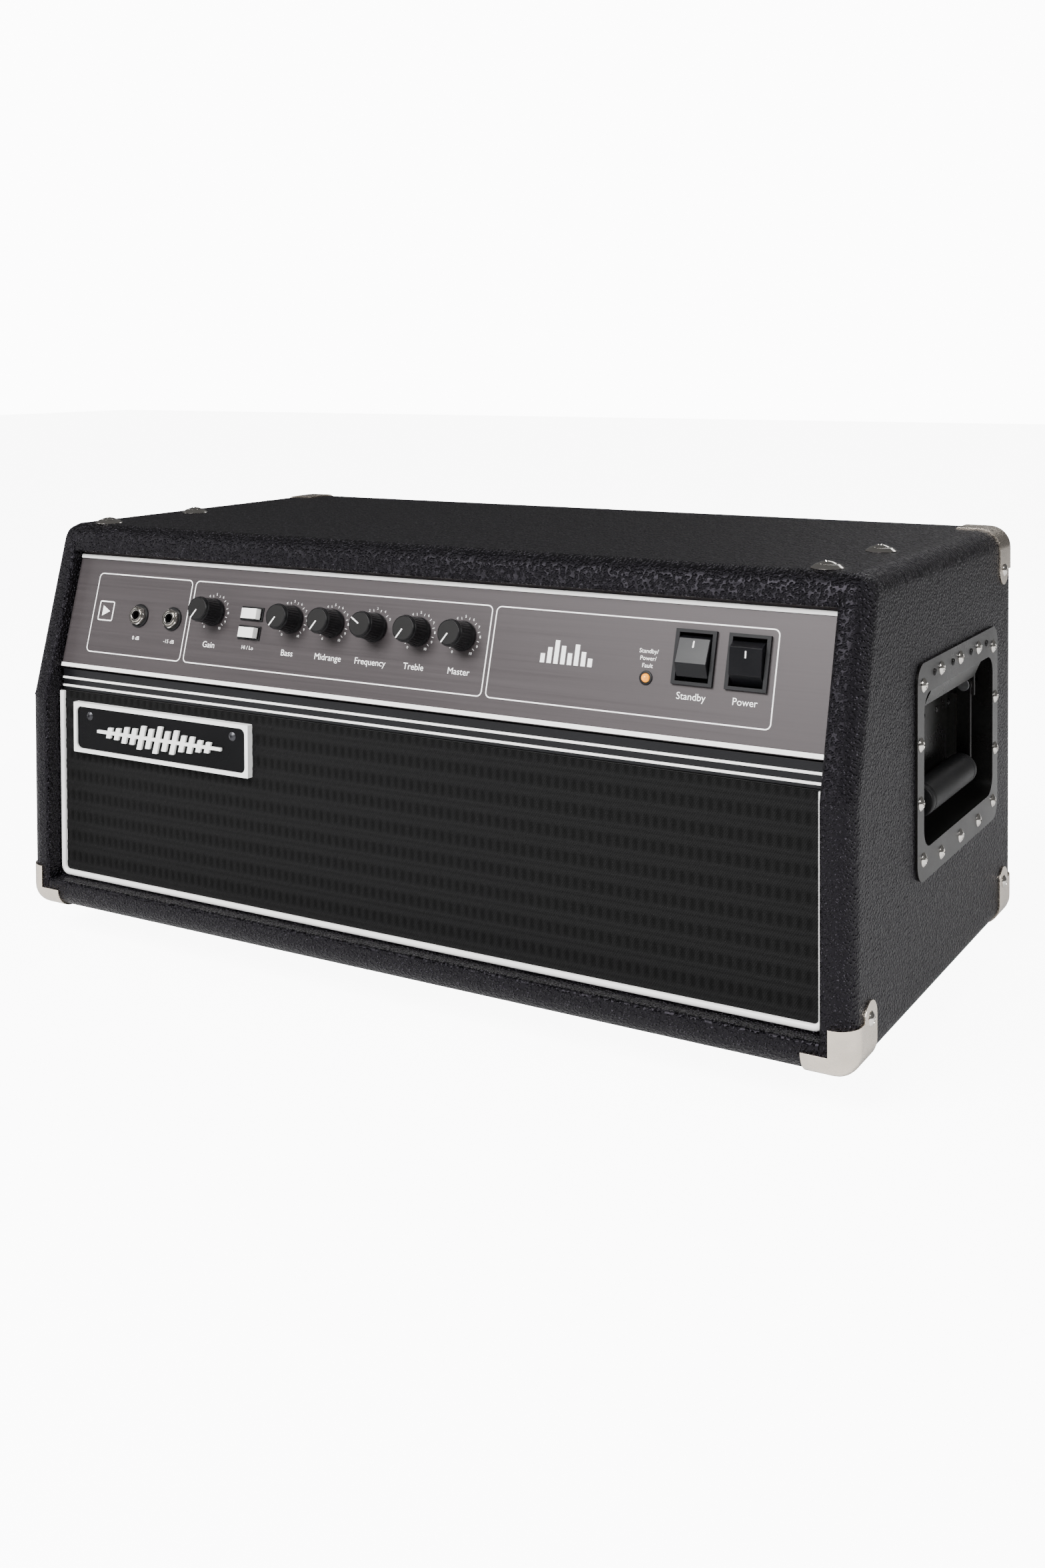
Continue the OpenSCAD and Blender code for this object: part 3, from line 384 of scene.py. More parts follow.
def prism(bm, points, low, high):
    bottom = [bm.verts.new((x, y, low)) for x, y in points]
    top = [bm.verts.new((x, y, high)) for x, y in points]
    bm.faces.new(bottom[::-1])
    bm.faces.new(top)
    ribbon(bm, bottom, top)


# flat frame between two outlines with the same number of points
def framePrism(bm, outer, inner, low, high):
    loops = [[bm.verts.new((x, y, z)) for x, y in points] for z in (low, high) for points in (outer,
        inner)]
    lowOut, lowIn, highOut, highIn = loops
    for i in range(len(outer)):
        j = (i + 1) % len(outer)
        bm.faces.new((highOut[i], highOut[j], highIn[j], highIn[i]))
        bm.faces.new((lowOut[j], lowOut[i], lowIn[i], lowIn[j]))
        bm.faces.new((lowOut[i], lowOut[j], highOut[j], highOut[i]))
        bm.faces.new((lowIn[j], lowIn[i], highIn[i], highIn[j]))


def newTree(name, *sockets):
    tree = bpy.data.node_groups.new(name, "GeometryNodeTree")
    for label, kind in (("Geometry", "Geometry"), *sockets):
        tree.interface.new_socket(label, in_out="INPUT", socket_type="NodeSocket" + kind)
    tree.interface.new_socket("Geometry", in_out="OUTPUT", socket_type="NodeSocketGeometry")
    make, link = tree.nodes.new, tree.links.new
    return tree, make, link, make("NodeGroupInput").outputs, make("NodeGroupOutput").inputs


# plain mesh that a node tree makes from one mesh and named inputs
def grow(name, mesh, tree, values):
    carrier = bpy.data.objects.new(name, mesh)
    scene.collection.objects.link(carrier)
    modifier = carrier.modifiers.new(name, "NODES")
    modifier.node_group = tree
    for item in tree.interface.items_tree:
        if item.in_out == "INPUT" and item.name in values:
            modifier[item.identifier] = values[item.name]
    return plainMesh(carrier)


# points with a turn attribute carry a shape, each twisted by a seeded amount
def scatterTree():
    tree, make, link, start, end = newTree("placeShapes", ("Shape", "Object"), ("Twist", "Float"),
        ("Seed", "Int"), ("Finish", "Material"))
    shape = make("GeometryNodeObjectInfo")
    link(start["Shape"], shape.inputs["Object"])
    turns = make("GeometryNodeInputNamedAttribute")
    turns.data_type = "FLOAT_VECTOR"
    turns.inputs["Name"].default_value = "turn"
    toTurn = make("FunctionNodeEulerToRotation")
    link(turns.outputs["Attribute"], toTurn.inputs[0])
    spin = make("FunctionNodeRandomValue")
    spin.data_type = "FLOAT"
    low = make("ShaderNodeMath")
    low.operation = "MULTIPLY"
    low.inputs[1].default_value = -1.0
    link(start["Twist"], low.inputs[0])
    floats = [s for s in spin.inputs if s.type == "VALUE"]
    link(low.outputs[0], floats[0])
    link(start["Twist"], floats[1])
    link(start["Seed"], spin.inputs["Seed"])
    about = make("FunctionNodeAxisAngleToRotation")
    about.inputs["Axis"].default_value = (0, 0, 1)
    spun = [s for s in spin.outputs if s.type == "VALUE" and s.enabled][0]
    link(spun, about.inputs["Angle"])
    both = make("FunctionNodeRotateRotation")
    both.rotation_space = "LOCAL"
    link(toTurn.outputs[0], both.inputs["Rotation"])
    link(about.outputs[0], both.inputs["Rotate By"])
    spread = make("GeometryNodeInstanceOnPoints")
    link(start["Geometry"], spread.inputs["Points"])
    link(shape.outputs["Geometry"], spread.inputs["Instance"])
    link(both.outputs[0], spread.inputs["Rotation"])
    real, coat = make("GeometryNodeRealizeInstances"), make("GeometryNodeSetMaterial")
    link(spread.outputs[0], real.inputs[0])
    link(real.outputs[0], coat.inputs["Geometry"])
    link(start["Finish"], coat.inputs["Material"])
    link(coat.outputs[0], end[0])
    return tree


placeShapes = scatterTree()


# shape is a mesh pointing along +Z; places are matrices. Returns one plain mesh
def scatter(name, shape, places, finish, twist=0.0, seed=1):
    points = bpy.data.meshes.new(name + "Points")
    points.from_pydata([m.to_translation() for m in places], [], [])
    attribute = points.attributes.new("turn", "FLOAT_VECTOR", "POINT")
    for i, m in enumerate(places):
        attribute.data[i].vector = m.to_euler("XYZ")
    sample = bpy.data.objects.new(name + "Shape", shape)
    scene.collection.objects.link(sample)
    mesh = grow(name + "Points", points, placeShapes, {"Shape": sample, "Twist": twist,
        "Seed": seed, "Finish": finish})
    bpy.data.objects.remove(sample)
    if "turn" in mesh.attributes:
        mesh.attributes.remove(mesh.attributes["turn"])
    return mesh


low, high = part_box("control_panel")
panelThick = 2 * mm
lean = math.radians(16)
panelMatrix = Matrix(((1, 0, 0, 0), (0, math.sin(lean), -math.cos(lean), low.y), (0, math.cos(lean),
    math.sin(lean), low.z + panelThick * math.sin(lean)), (0, 0, 0, 1)))


def onPanel(x, s, n=0.0):
    return panelMatrix @ Matrix.Translation((x, s, n))


boxLow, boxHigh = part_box("left_side_board")
halfWidth = -boxLow.x
innerHalf = -boxHigh.x
frontY, rearY = boxLow.y, boxHigh.y
baseZ, topZ = boxLow.z, boxHigh.z
boardThick = halfWidth - innerHalf

def makeCamera():
    view = {"place": (0.6018, -1.0054, 0.4098), "yaw": -30.569, "pitch": -1.471, "roll": -0.279,
        "lens": 38.503, "shift": -0.2449}
    yaw, pitch, roll = (math.radians(view[k]) for k in ("yaw", "pitch", "roll"))
    ahead = Vector((math.sin(yaw) * math.cos(pitch), math.cos(yaw) * math.cos(pitch),
        math.sin(pitch)))
    right = Vector((math.cos(yaw), -math.sin(yaw), 0))
    up = right.cross(ahead)
    side = right * math.cos(roll) + up * math.sin(roll)
    up = up * math.cos(roll) - right * math.sin(roll)
    data = bpy.data.cameras.new("viewCamera")
    data.lens, data.sensor_width, data.shift_y = view["lens"], 36, view["shift"]
    data.clip_start, data.clip_end = 0.05, 60
    camera = bpy.data.objects.new("viewCamera", data)
    scene.collection.objects.link(camera)
    camera.matrix_world = Matrix.Translation(view["place"]) @ Matrix((side, up,
        -ahead)).transposed().to_4x4()
    scene.camera = camera


def areaLight(name, where, aim, size, power):
    data = bpy.data.lights.new(name, "AREA")
    data.shape, data.size, data.size_y = "RECTANGLE", *size
    data.energy = power
    light = bpy.data.objects.new(name, data)
    scene.collection.objects.link(light)
    light.location = where
    light.rotation_mode = "QUATERNION"
    light.rotation_quaternion = (Vector(aim) - Vector(where)).to_track_quat("-Z", "Y")


def makeStudio():
    studio = {"floor": (0.9, 0.9, 0.9), "seen": 12.0, "world": 0.14, "glow": 9.0}
    world = bpy.data.worlds.new("studio")
    scene.world = world
    world.use_nodes = True
    back = world.node_tree.nodes["Background"]
    back.inputs["Color"].default_value = (1, 1, 1, 1)
    path = world.node_tree.nodes.new("ShaderNodeLightPath")
    level = world.node_tree.nodes.new("ShaderNodeMapRange")
    level.inputs["To Min"].default_value = studio["world"]
    level.inputs["To Max"].default_value = studio["seen"]
    world.node_tree.links.new(path.outputs["Is Camera Ray"], level.inputs["Value"])
    world.node_tree.links.new(level.outputs[0], back.inputs["Strength"])
    bm = bmesh.new()
    bmesh.ops.create_grid(bm, x_segments=8, y_segments=8, size=9)
    mat = speckled("paleFloor", studio["floor"], 0.8, 3, 0.02, spread=0.01)
    seen = put(mat, "LightPath").outputs["Is Camera Ray"]
    mat.node_tree.nodes["Principled BSDF"].inputs["Emission Color"].default_value = (1, 1, 1, 1)
    feed(mat, "Emission Strength", maths(mat, "MULTIPLY", seen, studio["glow"]))
    floor = bpy.data.objects.new("paleFloor", toMesh(bm, "paleFloor", materials=[mat]))
    scene.collection.objects.link(floor)
    areaLight("keyLight", (-0.25, -2.0, 1.9), (0, 0, 0.15), (1.8, 1.2), 175)
    areaLight("rightFill", (2.1, -0.1, 1.3), (0.2, 0, 0.15), (0.7, 0.9), 36)
    areaLight("leftFill", (-2.3, -1.0, 1.2), (0, 0, 0.15), (1.0, 1.4), 14)
    areaLight("rearRim", (0.3, 2.0, 1.5), (0, 0, 0.2), (1.6, 0.6), 9)


makeCamera()
makeStudio()
print("camera and studio made")

# rounded outside of the cabinet as one closed mesh
def cabinetShell():
    cab = {"edge": 13 * mm, "bend": baseZ + 149 * mm}
    topFront = frontY + (topZ - cab["bend"]) * math.tan(lean)
    outline = [(frontY, baseZ), (rearY, baseZ), (rearY, topZ), (topFront, topZ), (frontY,
        cab["bend"])]
    bm = bmesh.new()
    sides = [[bm.verts.new((x, y, z)) for y, z in outline] for x in (-halfWidth, halfWidth)]
    bm.faces.new(sides[0])
    bm.faces.new(sides[1][::-1])
    for i in range(5):
        j = (i + 1) % 5
        bm.faces.new((sides[0][j], sides[0][i], sides[1][i], sides[1][j]))
    faceOutward(bm)
    weight = bm.edges.layers.float.new("bevel_weight_edge")
    for e in bm.edges:
        angle = e.calc_face_angle()
        e[weight] = math.tan(angle / 2)  # a ball of one radius rolls along every edge
    mesh = toMesh(bm, "cabinetShell")
    carrier = bpy.data.objects.new("cabinetShell", mesh)
    scene.collection.objects.link(carrier)
    bevel = carrier.modifiers.new("round", "BEVEL")
    bevel.limit_method, bevel.offset_type = "WEIGHT", "OFFSET"
    bevel.width, bevel.segments, bevel.use_clamp_overlap = cab["edge"], 10, False
    return plainMesh(carrier)


# keeps the side that the normal points away from, and closes the cut
def cutKeep(bm, point, normal):
    cut = bmesh.ops.bisect_plane(bm, geom=bm.verts[:] + bm.edges[:] + bm.faces[:], plane_co=point,
        plane_no=normal, clear_outer=True, clear_inner=False, dist=weld)
    rim = [e for e in cut["geom_cut"] if isinstance(e, bmesh.types.BMEdge)]
    bmesh.ops.edgeloop_fill(bm, edges=rim)


def cutAcross(bm, point, normal):
    bmesh.ops.bisect_plane(bm, geom=bm.verts[:] + bm.edges[:] + bm.faces[:], plane_co=point,
        plane_no=normal, dist=weld)


def boardPiece(node, kind):
    lip = 2.6 * mm
    bm = bmesh.new()
    bm.from_mesh(shell)
    floorTop, ceiling = baseZ + boardThick, topZ - boardThick
    if kind in ("left", "right"):
        side = 1 if kind == "right" else -1
        cutKeep(bm, (side * innerHalf, 0, 0), (-side, 0, 0))
        cutAcross(bm, (0, 0, floorTop), (0, 0, 1))
        cutAcross(bm, (0, 0, ceiling), (0, 0, 1))

        def chosen(e):
            return all(abs(abs(v.co.x) - innerHalf) < 1e-5 and floorTop - 1e-5 < v.co.z < ceiling
                + 1e-5 for v in e.verts)
    else:
        cutKeep(bm, (innerHalf, 0, 0), (1, 0, 0))
        cutKeep(bm, (-innerHalf, 0, 0), (-1, 0, 0))
        level = ceiling if kind == "top" else floorTop
        cutKeep(bm, (0, 0, level), (0, 0, -1 if kind == "top" else 1))

        def chosen(e):
            across = abs(e.verts[0].co.x - e.verts[1].co.x) > 0.1
            return across and all(abs(v.co.z - level) < 1e-5 for v in e.verts)
    faceOutward(bm)
    bevelSharp(bm, lip, 4, 30, chosen)
    mesh = toMesh(bm, camel(node), materials=[covering])
    if kind in ("left", "right"):
        mesh = cutOpening(mesh, side)
    standIn(node, mesh, 40)


# opening in a side board that the handle's dish sits in
def cutOpening(mesh, side):
    lowDish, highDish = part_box("right_dish" if side > 0 else "left_dish")
    grow = 0.3 * mm
    overlap = 1.5
    flange = (12.5 - overlap) * mm, (18.5 - overlap) * mm
    width = highDish.y - lowDish.y - 2 * flange[0] + 2 * grow
    height = highDish.z - lowDish.z - 2 * flange[1] + 2 * grow
    bm = bmesh.new()
    prism(bm, roundedRect(width, height, 14 * mm), -0.05, 0.05)
    centre = (side * halfWidth, (lowDish.y + highDish.y) / 2, (lowDish.z + highDish.z) / 2)
    turned = Matrix.Translation(centre) @ Euler((turn / 4, 0, turn / 4)).to_matrix().to_4x4()
    cutter = bpy.data.objects.new("cutter", toMesh(bm, "cutter", turned))
    carrier = bpy.data.objects.new("boardCut", mesh)
    for o in (cutter, carrier):
        scene.collection.objects.link(o)
    hole = carrier.modifiers.new("hole", "BOOLEAN")
    hole.object, hole.operation, hole.solver = cutter, "DIFFERENCE", "EXACT"
    cut = plainMesh(carrier)
    bpy.data.objects.remove(cutter)
    return cut


shell = cabinetShell()
for boardNode, boardKind in (("top_board", "top"), ("bottom_board", "bottom"), ("left_side_board",
        "left"), ("right_side_board", "right")):
    boardPiece(boardNode, boardKind)
print("boards covered")

# one pressed guard is rounded to a ball at its corner, then mirrored to all six
def cornerGuards():
    guard = {"edge": 13 * mm, "sheet": 1.2 * mm, "ease": 0.35 * mm, "cuts": 7}
    bm = cadCopy("corner_guards")
    far = [v for v in bm.verts if v.co.x < 0 or v.co.y > 0 or v.co.z > 0.14]
    bmesh.ops.delete(bm, geom=far, context="VERTS")
    corner = Vector((halfWidth, frontY, baseZ))
    flip = Matrix.Diagonal((1, -1, -1, 1)) @ Matrix.Translation(-corner)
    bm.transform(flip)  # the cabinet now lies at negative x, y and z
    reach = guard["edge"] + guard["sheet"]
    for k in range(guard["cuts"]):
        level = -guard["edge"] + reach * math.sin(k / guard["cuts"] * turn / 4)
        for normal in ((1, 0, 0), (0, 1, 0), (0, 0, 1)):
            cutAcross(bm, Vector(normal) * level, normal)
    middle = Vector((-1, -1, -1)) * guard["edge"]
    for v in bm.verts:
        q = v.co - middle
        if min(q) > 1e-6:
            ball = max(math.hypot(q.x, q.y), math.hypot(q.y, q.z), math.hypot(q.x, q.z))
            v.co = middle + q.normalized() * ball
    bevelSharp(bm, guard["ease"], 2, 48)
    bm.transform(flip.inverted())
    one = toMesh(bm, "oneGuard")
    bm = bmesh.new()
    for side, end, level in ((1, -1, -1), (1, 1, -1), (1, 1, 1), (-1, -1, -1), (-1, 1, -1), (-1, 1,
            1)):
        part = bmesh.new()
        part.from_mesh(one)
        middleZ = (baseZ + topZ) / 2
        part.transform(Matrix.Translation((0, 0, middleZ)) @ Matrix.Diagonal((side, -end, -level,
            1)) @ Matrix.Translation((0, 0, -middleZ)))
        if side * end * level < 0:
            bmesh.ops.reverse_faces(part, faces=part.faces)
        copy = toMesh(part, "guardCopy")
        bm.from_mesh(copy)
        bpy.data.meshes.remove(copy)
    standIn("corner_guards", toMesh(bm, "cornerGuards", materials=[satinNickel]), 42)


cornerGuards()
print("corner guards made")

# flat sheet facing forwards with raised bands and rows of short upright dips
def weaveTree():
    lengths = [(label, "Float") for label in ("Width", "Height", "Band", "Dash", "Depth")]
    tree, make, link, start, end = newTree("weaveSheet", *lengths, ("Columns", "Int"), ("Rows",
        "Int"), ("Finish", "Material"))

    def calc(operation, *values):
        node = make("ShaderNodeMath")
        node.operation = operation
        for i, value in enumerate(values):
            if isinstance(value, bpy.types.NodeSocket):
                link(value, node.inputs[i])
            else:
                node.inputs[i].default_value = value
        return node.outputs[0]

    # 1 at the centre and 0 beyond half, both ways, smooth
    def bump(value, centre, half):
        away = calc("ABSOLUTE", calc("SUBTRACT", value, centre))
        near = calc("MAXIMUM", calc("SUBTRACT", 1.0, calc("DIVIDE", away, half)), 0.0)
        return calc("SINE", calc("MULTIPLY", near, turn / 4))

    grid = make("GeometryNodeMeshGrid")
    for label, source in (("Size X", "Width"), ("Size Y", "Height"), ("Vertices X", "Columns"),
            ("Vertices Y", "Rows")):
        link(start[source], grid.inputs[label])
    upright = make("GeometryNodeTransform")
    link(grid.outputs["Mesh"], upright.inputs["Geometry"])
    upright.inputs["Rotation"].default_value = Euler((turn / 4, 0, 0))
    axes = make("ShaderNodeSeparateXYZ")
    link(make("GeometryNodeInputPosition").outputs[0], axes.inputs[0])
    row = calc("DIVIDE", axes.outputs["Z"], start["Band"])
    across = calc("FRACT", row)
    stagger = calc("MULTIPLY", calc("SINE", calc("MULTIPLY", calc("FLOOR", row), 2.1)), 0.12)
    along = calc("FRACT", calc("ADD", calc("DIVIDE", axes.outputs["X"], start["Dash"]), stagger))
    dip = calc("MULTIPLY", bump(across, 0.42, 0.32), bump(along, 0.5, 0.30))
    ridge = bump(across, 0.80, 0.17)
    between = calc("MULTIPLY", bump(across, 0.08, 0.10), 0.35)
    lift = calc("ADD", calc("SUBTRACT", 0.66, calc("MULTIPLY", dip, 0.66)), calc("ADD",
        calc("MULTIPLY", ridge, 0.3), between))
    back = calc("MULTIPLY", calc("MULTIPLY", lift, start["Depth"]), -1.0)
    offset = make("ShaderNodeCombineXYZ")
    link(back, offset.inputs["Y"])
    move = make("GeometryNodeSetPosition")
    # lift is also stored for the cloth's colour, where it paints shade into the dips and light onto the raised
    # bands
    store = make("GeometryNodeStoreNamedAttribute")
    store.data_type, store.domain = "FLOAT", "POINT"
    store.inputs["Name"].default_value = "lift"
    link(lift, store.inputs["Value"])
    link(upright.outputs[0], store.inputs["Geometry"])
    link(store.outputs[0], move.inputs["Geometry"])
    link(offset.outputs[0], move.inputs["Offset"])
    coat = make("GeometryNodeSetMaterial")
    link(move.outputs[0], coat.inputs["Geometry"])
    link(start["Finish"], coat.inputs["Material"])
    link(coat.outputs[0], end[0])
    return tree


def grilleCloth():
    cloth = {"Band": 14.5 * mm, "Dash": 5.8 * mm, "Depth": 0.95 * mm, "Columns": 545, "Rows": 132,
        "Finish": grilleWeave}
    lowCloth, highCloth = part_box("grille_cloth")
    cloth["Width"], cloth["Height"] = highCloth.x - lowCloth.x, highCloth.z - lowCloth.z
    middle = (lowCloth + highCloth) / 2
    bm = bmesh.new()
    bm.from_mesh(grow("weave", bpy.data.meshes.new("weave"), weaveTree(), cloth))
    bm.transform(Matrix.Translation((0, lowCloth.y + cloth["Depth"] * 0.5, middle.z)))
    rim = [e for e in bm.edges if e.is_boundary]
    grown = bmesh.ops.extrude_edge_only(bm, edges=rim)["geom"]
    for v in grown:
        if isinstance(v, bmesh.types.BMVert):
            v.co.y = highCloth.y
    bmesh.ops.edgeloop_fill(bm, edges=[e for e in grown if isinstance(e,
        bmesh.types.BMEdge) and e.is_boundary])
    faceOutward(bm)
    standIn("grille_cloth", toMesh(bm, "grilleCloth", materials=[grilleWeave]), 60)


# round piping down both ends and along the bottom
def grillePiping():
    piping = {"corner": 7 * mm, "width": 4.1 * mm, "low": 0.9 * mm}
    lowPipe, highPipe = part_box("grille_piping")
    half, depth = highPipe.x, highPipe.y - lowPipe.y
    profile = [(0, 0)]
    for i in range(13):
        a = turn / 2 * i / 12
        profile.append((piping["width"] / 2 * (1 - math.cos(a)),
            piping["low"] + (depth - piping["low"]) * math.sin(a)))
    profile.append((piping["width"], 0))
    bm = bmesh.new()
    loops = []
    for inset, rise in profile:
        r = max(piping["corner"] - inset, 1.2 * mm)
        points = [(-half + inset, highPipe.z)]
        for side in (-1, 1):
            for i in range(9):
                a = turn / 4 * i / 8
                x = half - inset - r + r * (math.cos(a) if side < 0 else math.sin(a))
                z = lowPipe.z + inset + r - r * (math.sin(a) if side < 0 else math.cos(a))
                points.append((side * x, z))
        points.append((half - inset, highPipe.z))
        loops.append([bm.verts.new((x, highPipe.y - rise, z)) for x, z in points])
    for a, b in zip(loops, loops[1:] + loops[:1]):
        for i in range(len(a) - 1):
            bm.faces.new((a[i], a[i + 1], b[i + 1], b[i]))
    for end in (0, -1):
        bm.faces.new([loop[end] for loop in loops])
    faceOutward(bm)
    standIn("grille_piping", toMesh(bm, "grillePiping", materials=[whiteVinyl]), 50)


grilleCloth()
grillePiping()
refined("grille_board", boardPaint)
refined("trim_rail", trimBlack, 0.35 * mm)
refined("white_strips", whiteVinyl, 0.3 * mm)
print("grille made")

def badge():
    plate = {"rim": 2.7 * mm, "field": 3.6 * mm, "corner": 4 * mm, "ease": 0.5 * mm}
    lowBadge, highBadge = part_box("badge_plate")
    w, h = highBadge.x - lowBadge.x, highBadge.z - lowBadge.z
    depth = highBadge.y - lowBadge.y
    centre = (lowBadge + highBadge) / 2
    at = Matrix.Translation((centre.x, highBadge.y, centre.z)) @ Euler((turn / 4, 0,
        0)).to_matrix().to_4x4()
    bm = bmesh.new()
    framePrism(bm, roundedRect(w, h, 0.3 * mm), roundedRect(w - 2 * plate["rim"],
        h - 2 * plate["rim"], plate["corner"]), 0, depth)
    bevelSharp(bm, plate["ease"], 2, 50)
    addPiece("badgeRim", toMesh(bm, "badgeRim", at, [whitePlastic]), "cabinet")
    bm = bmesh.new()
    prism(bm, roundedRect(w - 2 * plate["rim"] + 0.02 * mm, h - 2 * plate["rim"] + 0.02 * mm,
        plate["corner"]), 0, plate["field"])
    standIn("badge_plate", toMesh(bm, "badgePlate", at, [badgeBlack]))
    refined("badge_emblem", whitePlastic, 0.3 * mm)


badge()


# oval head with a cross recess, facing +Z, with a short shank below
def screwHead(r, h, cross, shank):
    columns, grooves = 24, (0, 6, 12, 18)
    bm = bmesh.new()
    radii = [0.2 * cross, 0.5 * cross, 0.8 * cross, cross, 1.25 * cross, 0.8 * r, 0.93 * r, r, r]
    top = bm.verts.new((0, 0, h - 0.55 * cross))
    previous = None
    for k, radius in enumerate(radii):
        fall = (radius / r) ** 2
        z = h * (1 - 0.9 * fall) if k < 8 else 0
        ring = []
        for i in range(columns):
            a = turn * i / columns
            depth = 0.6 * cross * max(0.0, 1 - (radius / cross) ** 3) if i in grooves else 0
            if radius < cross and i % 6 in (1, 5):
                a = turn * round(i / 6) / 4 + (1 if i % 6 == 1 else -1) * min(0.6,
                    0.22 * cross / radius)
            if radius < 0.4 * cross:
                depth = 0.55 * cross
            ring.append(bm.verts.new((radius * math.cos(a), radius * math.sin(a), z - depth)))
        for i in range(columns):
            j = (i + 1) % columns
            if previous:
                bm.faces.new((previous[i], ring[i], ring[j], previous[j]))
            else:
                bm.faces.new((top, ring[i], ring[j]))
        previous = ring
    neck = [bm.verts.new((v.co.x * 0.5, v.co.y * 0.5, 0)) for v in previous]
    foot = [bm.verts.new((v.co.x, v.co.y, -shank)) for v in neck]
    for a, b in ((previous, neck), (neck, foot)):
        for i in range(columns):
            j = (i + 1) % columns
            bm.faces.new((a[i], b[i], b[j], a[j]))
    bm.faces.new(foot[::-1])
    faceOutward(bm)
    return toMesh(bm, "screwHead")


def facing(where, outward):
    return Matrix.Translation(where) @ Vector(outward).to_track_quat("Z", "Y").to_matrix().to_4x4()


def repeated(node, shape, places, finish, sharp=40, **values):
    mesh = scatter(camel(node), shape, places, finish, **values)
    return standIn(node, mesh, sharp)


def dishFrame(side):
    lowDish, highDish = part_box("right_dish" if side > 0 else "left_dish")
    middle = (lowDish + highDish) / 2
    face = highDish.x if side > 0 else lowDish.x
    return Vector((face, middle.y, middle.z)), highDish.y - lowDish.y, highDish.z - lowDish.z


def allScrews():
    screw = {"head": 4.3 * mm, "dome": 2.2 * mm, "cross": 2.1 * mm, "shank": 1.0 * mm}
    places = []
    for side in (-1, 1):
        middle, w, h = dishFrame(side)
        spots = [(i * 40.5 * mm, j * (h / 2 - 8.5 * mm)) for i in (-1, 0, 1) for j in (-1, 1)]
        spots += [(i * (w / 2 - 6.5 * mm), j * 17.3 * mm) for i in (-1, 1) for j in (-1, 1)]
        spots += [(i * (w / 2 - 11.6 * mm), j * (h / 2 - 13 * mm)) for i in (-1, 1) for j in (-1,
            1)]
        places += [facing(middle + Vector((0, y, z)), (side, 0, 0)) for y, z in spots]
        for end, up in ((-1, -1), (1, -1), (1, 1)):
            inset = 27 * mm
            x = side * (halfWidth + 1.2 * mm)
            y = (rearY - inset) if end > 0 else (frontY + inset)
            z = (topZ - inset) if up > 0 else (baseZ + inset)
            places.append(facing((x, y, z), (side, 0, 0)))
    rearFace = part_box("rear_panel")[1].y
    for x in (-1, -0.33, 0.33, 1):
        for z in (baseZ + boardThick + 9 * mm, topZ - boardThick - 9 * mm):
            places.append(facing((x * (innerHalf - 24 * mm), rearFace, z), (0, 1, 0)))
    repeated("cabinet_screws", screwHead(screw["head"], screw["dome"], screw["cross"],
        screw["shank"]), places, brightNickel, twist=1.5, seed=4)
    lowCup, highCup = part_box("cup_washers")
    cup = 9.5 * mm
    spots = [(x, y) for x in (lowCup.x + cup, highCup.x - cup) for y in (lowCup.y + cup,
        highCup.y - cup)]
    repeated("chassis_bolts", screwHead(5.4 * mm, 1.8 * mm, 2.8 * mm, 8 * mm), [facing((x, y,
        highCup.z), (0, 0, 1)) for x, y in spots], brightNickel, twist=1.5, seed=9)
    profile = [(3.1, 0), (9.5, 0), (9.6, 0.35), (9.3, 0.8), (8.2, 1.5), (7.2, 2.4), (6.6, 2.6),
        (5.2, 2.35), (3.1, 2.3), (3.1, 0)]
    repeated("cup_washers", turnedShape("cupWasher", profile, 40), [facing((x, y, topZ), (0, 0,
        1)) for x, y in spots], brightNickel)
    lowBadge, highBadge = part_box("badge_plate")
    middle = (lowBadge + highBadge) / 2
    places = [facing((middle.x + i * 64.5 * mm, highBadge.y - 3.6 * mm, middle.z + 8.5 * mm), (0,
        -1, 0)) for i in (-1, 1)]
    repeated("badge_screws", screwHead(3 * mm, 1.4 * mm, 1.4 * mm, 1 * mm), places, oxideBlack,
        twist=1.0, seed=2)


allScrews()
print("screws placed")

# printed line round a rectangle given as left, bottom, right, top
def outlineBand(bm, corners, line, radius, lift):
    left, bottom, right, top = corners
    w, h = right - left, top - bottom
    cx, cy = (left + right) / 2, (bottom + top) / 2

    def loop(inset):
        return [(cx + x, cy + y) for x, y in roundedRect(w - 2 * inset, h - 2 * inset,
            radius - inset, 5)]
    framePrism(bm, loop(0), loop(line), 0, lift)


def addWords(bm, text, x, s, height, lift):
    curve = bpy.data.curves.new("words", "FONT")
    curve.body, curve.size = text, height
    curve.resolution_u, curve.extrude = 3, lift / 2
    curve.align_x = curve.align_y = "CENTER"
    carrier = bpy.data.objects.new("words", curve)
    scene.collection.objects.link(carrier)
    mesh = plainMesh(carrier)
    mesh.transform(Matrix.Translation((x, s, lift / 2)))
    bm.from_mesh(mesh)
    bpy.data.meshes.remove(mesh)


knobNodes = ["gain_knob", "bass_knob", "mid_knob", "frequency_knob", "treble_knob", "master_knob"]


def jointOf(node):
    return next(j for j in frame["joints"] if j["child"] == bodyOf[node])


# x and s of a turning control, from its joint
def panelSpot(node):
    local = panelMatrix.inverted() @ Vector(jointOf(node)["pos_m"])
    return local.x, local.y


